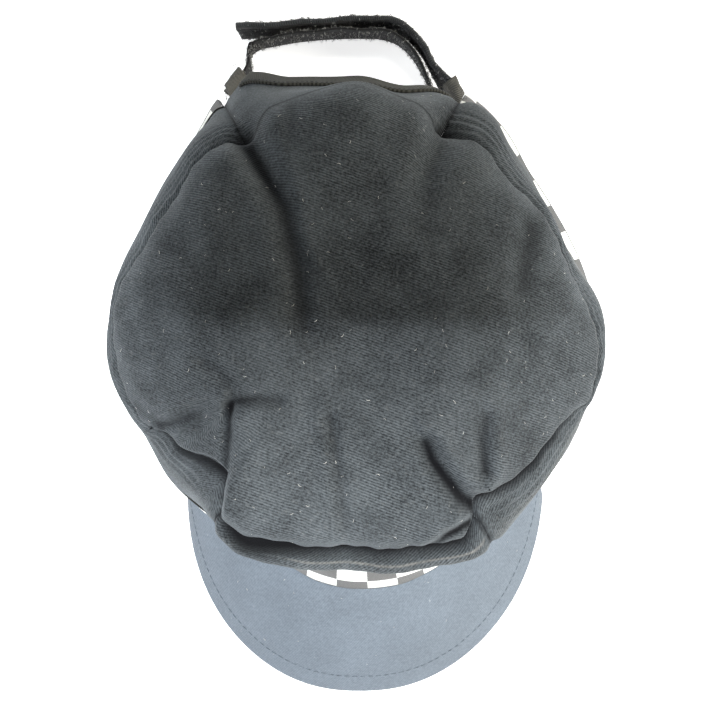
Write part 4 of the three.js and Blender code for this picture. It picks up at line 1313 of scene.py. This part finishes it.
@dataclass
class Strap:
    """A strap that stands on its edge along a route, leaning inwards towards its top."""

    name: str
    node: str
    slot: Slot
    material: Material
    route: tuple
    thickness: float
    bottom: float
    outside: float
    leaning: tuple
    height: float = 18.0
    waviness: float = 0.25

    def frame(self, count: int) -> tuple:
        """Returns the strap's line, its outward directions, its lean and the distances along it."""
        line, tangent, stops = Spline(self.route).points(count)
        outwards = np.stack([tangent[:, 1], -tangent[:, 0]], axis=1) * self.outside
        share = stops / stops[-1]
        shares, leans = zip(*self.leaning)
        return line, outwards, np.interp(share, shares, leans), stops

    def point(self, frame: tuple, index: np.ndarray, up: np.ndarray, away: np.ndarray) -> np.ndarray:
        """Returns points of the strap.

        Args:
            frame: What frame() returned.
            index: Which points of the line.
            up: Share of the strap's height.
            away: Distance outwards from its middle, in millimetres.

        Returns:
            The points.
        """
        line, outwards, lean, stops = frame
        wave = self.waviness * np.sin(stops[index] * 0.34 + 1.3) * up
        shift = (away - lean[index] * up + wave)[:, None]
        plan = line[index] + outwards[index] * shift
        return np.concatenate([plan, (self.bottom + up * self.height)[:, None]], axis=1)

    def build(self) -> Piece:
        """Builds the strap with rounded edges and returns it."""
        columns = 170
        frame = self.frame(columns)
        side_rows = 16
        corner = np.linspace(0, math.pi, 7)[1:-1]
        half = self.thickness / 2
        rise = half / self.height
        face_up = np.linspace(rise, 1 - rise, side_rows)
        over, under = 1 - rise + rise * np.sin(corner), rise - rise * np.sin(corner)
        up = np.concatenate([face_up, over, face_up[::-1], under])
        side = np.full(side_rows, half)
        away = np.concatenate([side, half * np.cos(corner), -side, -half * np.cos(corner)])
        rows = len(up)
        index = np.repeat(np.arange(columns), rows)
        points = self.point(frame, index, np.tile(up, columns), np.tile(away, columns))
        flat = np.stack([frame[3][index], np.tile(up, columns) * self.height], axis=1)
        faces = []
        for c in range(columns - 1):
            here, there = c * rows, (c + 1) * rows
            for r in range(rows):
                after = (r + 1) % rows
                faces.append((here + r, here + after, there + after, there + r))
        faces.append(tuple(reversed(range(rows))))
        faces.append(tuple((columns - 1) * rows + r for r in range(rows)))
        piece = make_piece(self.name, facing_out(Surface(points, faces, flat)), self.material)
        return settle(piece, self.slot, self.node)


OUTER_ROUTE = (
    (37.4, 91.1), (36.4, 92.7), (35.3, 94.4), (33.6, 98), (31, 103.2), (26.9, 110.6), (21.4, 116.8),
    (14.8, 119.9), (4.9, 120.8), (-5.7, 120), (-17.4, 119.4), (-25, 118.6), (-44.5, 117.8),
)
INNER_ROUTE = (
    (-45.4, 92.9), (-43.4, 95.2), (-41.5, 97.5), (-40.6, 101.2), (-41.8, 105.6), (-41.6, 110.2),
    (-38, 113.2), (-30.8, 114.9), (-20.3, 116.6), (-8, 117.6), (2.6, 117.8), (10.5, 117.4), (16.5, 115.4),
    (21.3, 111.6), (25.2, 106.2), (28.4, 100.4), (30.2, 96.4),
)


@dataclass
class Tab:
    """A short fold of cloth over the fixed end of a strap, crumpled and frayed."""

    finishes: Finishes
    name: str
    node: str
    strap: float
    x: float
    y: float
    heading: float
    wall_angle: float
    seed: int
    cloth: float = 1.2
    bottom: float = 0.8
    top: float = 22.0
    clearance: float = 0.5

    def section(self) -> dict:
        """Returns the fold's two layers as points of sideways distance and height."""
        near = self.strap / 2 + GAP
        steps = 16
        bend = np.linspace(0, math.pi, steps - 1)
        legs = np.linspace(0, 1, steps, endpoint=False)
        height = self.top - near - self.cloth
        layers = {}
        for layer, reach in (("outer", near + self.cloth), ("inner", near)):
            up_leg = [(-reach, self.bottom + (height - self.bottom) * s) for s in legs]
            arch = [(-reach * math.cos(t), height + reach * math.sin(t)) for t in bend]
            down_leg = [(reach, height + (self.bottom - height) * s) for s in (legs + 1 / steps)]
            layers[layer] = np.array(up_leg + arch + down_leg)
        return layers

    def build(self) -> Piece:
        """Builds the tab and returns it."""
        way = math.radians(self.heading)
        heading = np.array([math.cos(way), math.sin(way)])
        sideways = np.array([-heading[1], heading[0]])
        wall = math.radians(self.wall_angle)
        wall_end = np.array([-math.sin(wall), math.cos(wall)])
        layers = self.section()
        rows = len(layers["outer"])
        columns = 22
        facing = math.copysign(1, float(heading @ wall_end))
        built = {}
        for layer, shape in layers.items():
            points = []
            for share in np.linspace(0, 1, columns):
                end = np.array([self.x, self.y])[None, :] + shape[:, :1] * sideways
                back = (end @ wall_end * facing - self.clearance) / (heading @ wall_end) / facing
                plan = end - heading * (back * (1 - share))[:, None]
                points.append(np.concatenate([plan, shape[:, 1:]], axis=1))
            built[layer] = np.concatenate(points)
        x, y, z = built["outer"].T
        fold_length, wrinkle_length, lowest = 9, 4, 0.3
        crumple = 0.55 * ripple(x * 1.5, z + y, fold_length, self.seed)
        crumple += 0.25 * ripple(y, z, wrinkle_length, self.seed + 1)
        away = unit(built["outer"] - built["outer"].mean(axis=0))
        outer = built["outer"] + away * np.clip(crumple, -0.5, 1.2)[:, None]
        inner = built["inner"] + away * np.clip(crumple, 0, 1.2)[:, None] * 0.6
        outer[:, 2] = np.maximum(outer[:, 2], lowest)
        across, along = np.arange(columns) * 0.6, np.arange(rows) * 0.9
        flat = np.stack([np.repeat(across, rows), np.tile(along, columns)], axis=1)
        surface = facing_out(thickened(outer, inner, grid_faces(columns, rows), flat))
        wear_and_shade_value = np.clip(0.5 + 0.4 * crumple, 0, 1) * 0.4
        piece = make_piece(self.name, surface, self.finishes.tab, np.tile(wear_and_shade_value, 2))
        return settle(piece, Slot.CROWN, self.node)


@dataclass
class ArchBinding:
    """Tape folded over the rear opening's edge, with a leg on each face of the cloth."""

    crown: Crown
    finishes: Finishes
    start: float = 111.6
    end: float = 69.8
    width: float = 7.0
    tape: float = 0.9
    step: float = 0.5

    def edge(self, angle: np.ndarray) -> tuple:
        """Returns the edge's points and the places where they are."""
        place = self.crown.place_at_height(angle, self.crown.arch(angle))
        return self.crown.grooved(angle, place), place

    def build(self) -> Piece:
        """Builds the tape and returns it."""
        angles = np.linspace(self.start, self.end, 150)
        edge, place = self.edge(angles)
        ahead, _ = self.edge(angles + self.step)
        behind, _ = self.edge(angles - self.step)
        normal = self.crown.shift(self.crown.grooved, angles, place)
        square = unit(np.cross(unit(ahead - behind), normal))
        square *= np.where(square[:, 2:] < 0, -1, 1)
        turn, move = self.per_millimetre(angles, place, square)
        near = 0.12
        outer_line, inner_line = self.fold(near + self.tape), self.fold(near)
        layers = []
        for line in (outer_line, inner_line):
            columns = []
            for inward, outside in line:
                if inward <= 0:
                    columns.append(edge + square * inward + normal * outside)
                else:
                    columns.append(self.crown.point(angles + turn * inward, place + move * inward, outside))
            layers.append(np.stack(columns, axis=1).reshape(-1, 3))
        rows = len(outer_line)
        run = np.concatenate([[0], np.cumsum(np.linalg.norm(np.diff(edge, axis=0), axis=1))])
        flat = np.stack([np.repeat(run, rows), np.tile(np.arange(rows) * 0.9, len(angles))], axis=1)
        faces = grid_faces(len(angles), rows)
        surface = facing_out(thickened(layers[0], layers[1], faces, flat))
        sewn = self.width - 1.1
        line = self.crown.point(angles + turn * sewn, place + move * sewn, near + self.tape + 0.1)
        Stitches(1.6, 1.1, 0.26).build("binding_stitches", line, self.finishes.dark_thread, Slot.BINDING)
        piece = make_piece("opening_binding", surface, self.finishes.binding)
        return settle(piece, Slot.BINDING, "arch_binding")

    def per_millimetre(self, angles: np.ndarray, place: np.ndarray, square: np.ndarray) -> tuple:
        """Returns how far the angle and the place change for a millimetre inwards from the edge.

        Args:
            angles: Angles of the edge's points.
            place: Their places along the profile.
            square: Unit vectors along the cloth, square to the edge.

        Returns:
            The changes of the angle and of the place.
        """
        place_step = 0.05
        grooved = self.crown.grooved
        by_place = (grooved(angles, place) - grooved(angles, place - place_step)) / place_step
        by_angle = (grooved(angles + self.step, place) - grooved(angles - self.step, place)) / (2 * self.step)
        mixed = dots(by_angle, by_place)
        whole = dots(by_angle, by_angle) * dots(by_place, by_place) - mixed**2
        turn = (dots(by_angle, square) * dots(by_place, by_place) - dots(by_place, square) * mixed) / whole
        move = (dots(by_place, square) * dots(by_angle, by_angle) - dots(by_angle, square) * mixed) / whole
        return turn, move

    def fold(self, reach: float) -> list:
        """Returns the tape's fold as pairs of distance in from the edge and distance outside the cloth."""
        legs = np.linspace(self.width, 0, 8, endpoint=False)
        bend = np.linspace(0, math.pi, 9)
        middle = -CLOTH / 2
        half = CLOTH / 2 + reach
        front = [(float(s), reach) for s in legs]
        nose = [(-reach * math.sin(t), middle + half * math.cos(t)) for t in bend]
        back = [(float(s), -CLOTH - reach) for s in legs[::-1]]
        return front + nose + back


class DetailTree(NodeTree):
    """One geometry node tree that makes a plain mesh."""

    def __init__(self, name: str, sizes: dict) -> None:
        """Starts the tree with its named sizes."""
        super().__init__(bpy.data.node_groups.new(name, "GeometryNodeTree"))
        self.sizes = sizes
        sockets = self.tree.interface
        sockets.new_socket("Geometry", in_out="INPUT", socket_type="NodeSocketGeometry")
        for label in sizes:
            sockets.new_socket(label, in_out="INPUT", socket_type="NodeSocketFloat")
        sockets.new_socket("Geometry", in_out="OUTPUT", socket_type="NodeSocketGeometry")
        self.source = self.tree.nodes.new("NodeGroupInput")
        self.result = self.tree.nodes.new("NodeGroupOutput")

    def size(self, label: str) -> Socket:
        """Returns the output of a named size."""
        return self.source.outputs[label]

    def vector(self, *parts: object) -> Socket:
        """Returns a vector of three values."""
        return self.node("ShaderNodeCombineXYZ", dict(enumerate(parts))).outputs[0]

    def times(self, first: object, second: object) -> Socket:
        """Returns the product of two values."""
        return self.node("ShaderNodeMath", {0: first, 1: second}, operation="MULTIPLY").outputs[0]

    def make(
        self, name: str, base: bpy.types.Mesh, instances: object, material: Material, slot: Slot,
    ) -> Piece:
        """Runs the tree on a mesh and returns what it makes as a plain object.

        Args:
            name: The object's name.
            base: The mesh that the tree starts from.
            instances: The tree's last output before its instances are made real.
            material: The material of what it makes.
            slot: The record's slot of that material.

        Returns:
            The object.
        """
        real = self.node("GeometryNodeRealizeInstances", {"Geometry": instances}).outputs[0]
        finished = self.node("GeometryNodeSetMaterial", {"Geometry": real, "Material": material}).outputs[0]
        self.tree.links.new(finished, self.result.inputs[0])
        maker = bpy.data.objects.new(name, base)
        bpy.context.scene.collection.objects.link(maker)
        modifier = maker.modifiers.new("details", "NODES")
        modifier.node_group = self.tree
        for socket in self.tree.interface.items_tree:
            if socket.in_out == "INPUT" and socket.name in self.sizes:
                modifier[socket.identifier] = float(self.sizes[socket.name])
        bpy.context.view_layer.update()
        mesh = bpy.data.meshes.new_from_object(maker.evaluated_get(bpy.context.evaluated_depsgraph_get()))
        maker.modifiers.clear()
        maker.data = mesh
        return settle(maker, slot)


@dataclass
class Stitches:
    """A row of stitches along a line; sizes in millimetres."""

    pitch: float
    length: float
    thickness: float

    def build(self, name: str, line: np.ndarray, material: Material, slot: Slot) -> Piece:
        """Sews the row and returns it.

        Args:
            name: The row's name.
            line: Points of the line in the crown's frame.
            material: The thread's material.
            slot: The record's slot of that material.

        Returns:
            The row.
        """
        half_length, radius = self.length * MM / 2, self.thickness * MM / 2
        tree = DetailTree(name, {"Pitch": self.pitch * MM, "Half length": half_length, "Radius": radius})
        base = bpy.data.meshes.new(name + "_line")
        points = (line + CENTRING) * MM
        base.from_pydata(points.tolist(), [(i, i + 1) for i in range(len(points) - 1)], [])
        curve = tree.node("GeometryNodeMeshToCurve", {"Mesh": tree.source.outputs[0]}).outputs[0]
        inputs = {"Curve": curve, "Length": tree.size("Pitch")}
        spots = tree.node("GeometryNodeCurveToPoints", inputs, mode="LENGTH")
        turn = tree.node("FunctionNodeAlignRotationToVector", {"Vector": spots.outputs["Tangent"]}, axis="Z")
        stitch = tree.node("GeometryNodeMeshIcoSphere", {"Radius": 1.0, "Subdivisions": 2}).outputs[0]
        inputs = {
            "Points": spots.outputs["Points"], "Instance": stitch, "Rotation": turn.outputs[0],
            "Scale": tree.vector(tree.size("Radius"), tree.size("Radius"), tree.size("Half length")),
        }
        row = tree.node("GeometryNodeInstanceOnPoints", inputs).outputs[0]
        return tree.make(name, base, row, material, slot)


@dataclass
class Fibres:
    """Short curved fibres scattered over the faces of a piece; sizes in millimetres."""

    per_square_centimetre: float
    length: float
    rise: float
    thickness: float
    least_up: float
    seed: int
    tilt: float

    def build(
        self, name: str, piece: Piece, material: Material, slot: Slot,
    ) -> Piece:
        """Scatters the fibres and returns them as one object.

        Args:
            name: The object's name.
            piece: The piece that they lie on.
            material: Their material.
            slot: The record's slot of that material.

        Returns:
            The fibres.
        """
        per_square_metre = 10000
        sizes = {
            "Density": self.per_square_centimetre * per_square_metre,
            "Length": self.length * MM, "Rise": self.rise * MM,
            "Radius": self.thickness * MM / 2, "Least up": self.least_up, "Tilt": self.tilt,
        }
        tree = DetailTree(name, sizes)
        normal = tree.node("GeometryNodeInputNormal").outputs[0]
        up = tree.node("ShaderNodeSeparateXYZ", {"Vector": normal}).outputs["Z"]
        upper = tree.node("ShaderNodeMath", {0: up, 1: tree.size("Least up")}, operation="GREATER_THAN")
        inputs = {"Mesh": tree.source.outputs[0], "Selection": upper.outputs[0]}
        inputs |= {"Density": tree.size("Density"), "Seed": self.seed}
        spots = tree.node("GeometryNodeDistributePointsOnFaces", inputs)
        lean = tree.size("Tilt")
        least = tree.vector(tree.times(lean, -1), tree.times(lean, -1), 0)
        inputs = {0: least, 1: tree.vector(lean, lean, 2 * math.pi), "Seed": self.seed}
        spin = tree.node("FunctionNodeRandomValue", inputs, data_type="FLOAT_VECTOR").outputs[0]
        inputs = {"Rotation": spots.outputs["Rotation"], "Rotate By": spin}
        turn = tree.node("FunctionNodeRotateRotation", inputs, rotation_space="LOCAL").outputs[0]
        inputs = {2: 0.5, 3: 1.3, "Seed": self.seed + 1}
        size = tree.node("FunctionNodeRandomValue", inputs, data_type="FLOAT").outputs[1]
        half = tree.times(tree.size("Length"), 0.5)
        middle = tree.vector(0, tree.times(tree.size("Length"), 0.35), tree.size("Rise"))
        inputs = {"Resolution": 5, "Start": tree.vector(tree.times(half, -1), 0, 0), "Middle": middle}
        inputs["End"] = tree.vector(half, 0, 0)
        path = tree.node("GeometryNodeCurveQuadraticBezier", inputs).outputs[0]
        ring_inputs = {"Resolution": 4, "Radius": tree.size("Radius")}
        section = tree.node("GeometryNodeCurvePrimitiveCircle", ring_inputs).outputs[0]
        fibre = tree.node("GeometryNodeCurveToMesh", {"Curve": path, "Profile Curve": section}).outputs[0]
        inputs = {"Points": spots.outputs["Points"], "Instance": fibre, "Rotation": turn, "Scale": size}
        fibres = tree.node("GeometryNodeInstanceOnPoints", inputs).outputs[0]
        return tree.make(name, piece.data.copy(), fibres, material, slot)


@dataclass
class Studio:
    """Table, lights and the camera straight above the cap."""

    finishes: Finishes
    camera_x: float = 1.9
    camera_y: float = -9.6
    camera_height: float = 302.0
    lens: float = 38.0
    aim: tuple = (0.0, 0.0, 0.05)

    def camera(self) -> None:
        """Places the camera over the point of the cap that the photograph's middle shows."""
        data = bpy.data.cameras.new("camera")
        data.lens = self.lens
        data.sensor_width = 36.0
        data.clip_start = 0.01
        camera = bpy.data.objects.new("camera", data)
        camera.location = (
            (self.camera_x + CENTRING[0]) * MM, (self.camera_y + CENTRING[1]) * MM, self.camera_height * MM,
        )
        bpy.context.scene.collection.objects.link(camera)
        bpy.context.scene.camera = camera

    def lamp(self, name: str, place: tuple, size: float, watts: float, tint: tuple) -> None:
        """Adds a square area light that faces the cap.

        Args:
            name: The lamp's name.
            place: Where it is, in metres.
            size: Its side in metres.
            watts: Its power.
            tint: Its colour.
        """
        data = bpy.data.lights.new(name, "AREA")
        data.shape = "SQUARE"
        data.size = size
        data.energy = watts
        data.color = tint
        lamp = bpy.data.objects.new(name, data)
        away = np.array(place, float) - np.array(self.aim, float)
        away /= np.linalg.norm(away)
        lamp.location = place
        pitch = math.acos(float(np.clip(away[2], -1, 1)))
        yaw = math.atan2(away[1], away[0])
        lamp.rotation_euler = (0, pitch, yaw)
        bpy.context.scene.collection.objects.link(lamp)

    def sheet(self, name: str, low: tuple, high: tuple, height: float, material: Material) -> Piece:
        """Adds a level sheet to the studio and returns it.

        Args:
            name: The sheet's name.
            low: Its corner with the lowest x and y, in metres.
            high: The opposite corner.
            height: How high it lies.
            material: Its material.

        Returns:
            The sheet.
        """
        mesh = bpy.data.meshes.new(name)
        plan = [low, (high[0], low[1]), high, (low[0], high[1])]
        mesh.from_pydata([(x, y, height) for x, y in plan], [], [(0, 1, 2, 3)])
        mesh.materials.append(material)
        sheet = bpy.data.objects.new(name, mesh)
        bpy.context.scene.collection.objects.link(sheet)
        return sheet

    def table(self) -> None:
        """Lays the white table under the cap."""
        half = 3.0
        self.sheet("table", (-half, -half), (half, half), 0.0, self.finishes.table)

    def air(self) -> None:
        """Fills the room with soft white light."""
        world = bpy.data.worlds.new("room")
        world.use_nodes = True
        background = world.node_tree.nodes["Background"]
        background.inputs["Color"].default_value = (0.95, 0.98, 1.0, 1)
        background.inputs["Strength"].default_value = 0.085
        bpy.context.scene.world = world

    def card(self) -> None:
        """Hangs a card over the cap, unseen by the camera, that shades the rear half of the top."""
        height = 0.33
        low = np.array([-52.0, -68.0, 0.0])
        high = np.array([51.0, 66.0, 0.0])
        low, high = (tuple(((corner + CENTRING) * MM)[:2]) for corner in (low, high))
        self.sheet("card", low, high, height, self.finishes.card).visible_camera = False

    def build(self) -> None:
        """Builds the whole studio."""
        self.camera()
        self.table()
        self.air()
        self.card()
        self.lamp("window_light", (0.0, -0.30, 1.6), 0.25, 38, (0.94, 0.98, 1.0))
        self.lamp("window_gleam", (0.0, -0.42, 1.6), 0.03, 12, (0.94, 0.98, 1.0))
        self.lamp("rear_light", (0.1, 0.30, 1.6), 0.2, 4.5, (1.0, 1.0, 0.93))
        self.lamp("right_light", (1.3, 0.1, 0.8), 0.4, 18, (1.0, 0.97, 0.86))
        self.lamp("left_light", (-1.3, 0.1, 0.8), 0.4, 7, (0.90, 0.96, 1.0))
        bpy.context.scene.view_settings.view_transform = "Standard"
        LOG.info("studio: table, room light, five lamps, the card and the camera")


def main() -> None:
    """Builds every piece of the cap and the studio round it."""
    logging.basicConfig(level=logging.INFO, format="%(message)s")
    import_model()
    finishes = Finishes()
    crown = Crown()
    Studio(finishes).build()
    top = TopPanel(crown, finishes).build()
    panels = (
        ("front_cloth", "front_panel", float(Seam.FRONT_LEFT), float(Seam.FRONT_RIGHT)),
        ("left_cloth", "side_panel_left", float(Seam.REAR_LEFT), float(Seam.FRONT_LEFT)),
        ("right_cloth", "side_panel_right", float(Seam.FRONT_RIGHT), Seam.REAR_RIGHT + FULL_TURN),
    )
    for name, node, start, end in panels:
        WallPanel(crown, finishes, name, node, start, end).build()
    ChequeredBand(crown, finishes).build()
    peak = Peak(crown, finishes)
    peak_piece = peak.build()
    ArchBinding(crown, finishes).build()
    left_tab = Tab(finishes, "left_tab", "tab_left", 1.6, -41.7, 97.3, 50, 118, 11).build()
    right_tab = Tab(finishes, "right_tab", "tab_right", 2, 35.3, 94.4, 122.5, 65.5, 21).build()
    pile = Strap(
        "pile_strap", "strap_outer", Slot.PILE, finishes.pile, OUTER_ROUTE,
        thickness=2.2, bottom=2.0, outside=1.0, leaning=((0, 0), (0.04, 0), (0.14, 3.1), (1, 3.1)),
    ).build()
    hook_lean = ((0, 0), (0.077, 0), (0.2, 4.3), (0.72, 4.3), (0.85, 3.4), (1, 3.2))
    hooks = Strap(
        "hook_strap", "strap_inner", Slot.HOOKS, finishes.hook_tape, INNER_ROUTE,
        thickness=1.2, bottom=1.5, outside=-1.0, leaning=hook_lean,
    ).build()
    stitch_row = peak.stitch_line(9.5, 260) + np.array([0, 0, 0.05])
    Stitches(2.9, 2.2, 0.42).build("peak_stitches", stitch_row, finishes.peak_stitch, Slot.PEAK)
    any_side = -2
    scattered = (
        ("crown_lint", top, finishes.lint, Slot.CROWN, Fibres(0.9, 0.9, 0.15, 0.12, 0.2, 3, 0.15)),
        ("peak_lint", peak_piece, finishes.lint, Slot.PEAK, Fibres(0.45, 0.8, 0.12, 0.09, 0.3, 5, 0.15)),
        ("pile_loops", pile, finishes.black_loops, Slot.PILE, Fibres(38, 1.5, 1.0, 0.16, any_side, 7, 0.6)),
        ("pile_specks", pile, finishes.hooks, Slot.PILE, Fibres(7, 0.5, 0.9, 0.18, any_side, 9, 0.6)),
        ("hook_loops", hooks, finishes.hook_loops, Slot.HOOKS, Fibres(30, 0.9, 1.5, 0.15, any_side, 11, 0.5)),
    )
    for name, piece, material, slot, fibres in scattered:
        fibres.build(name, piece, material, slot)
    for number, tab in enumerate((left_tab, right_tab)):
        fray = Fibres(5, 5.0, 2.6, 0.2, any_side, 13 + number, 0.7)
        fray.build(tab.name + "_fray", tab, finishes.fray, Slot.BINDING)
    bpy.context.view_layer.update()


if __name__ == "__main__":
    main()
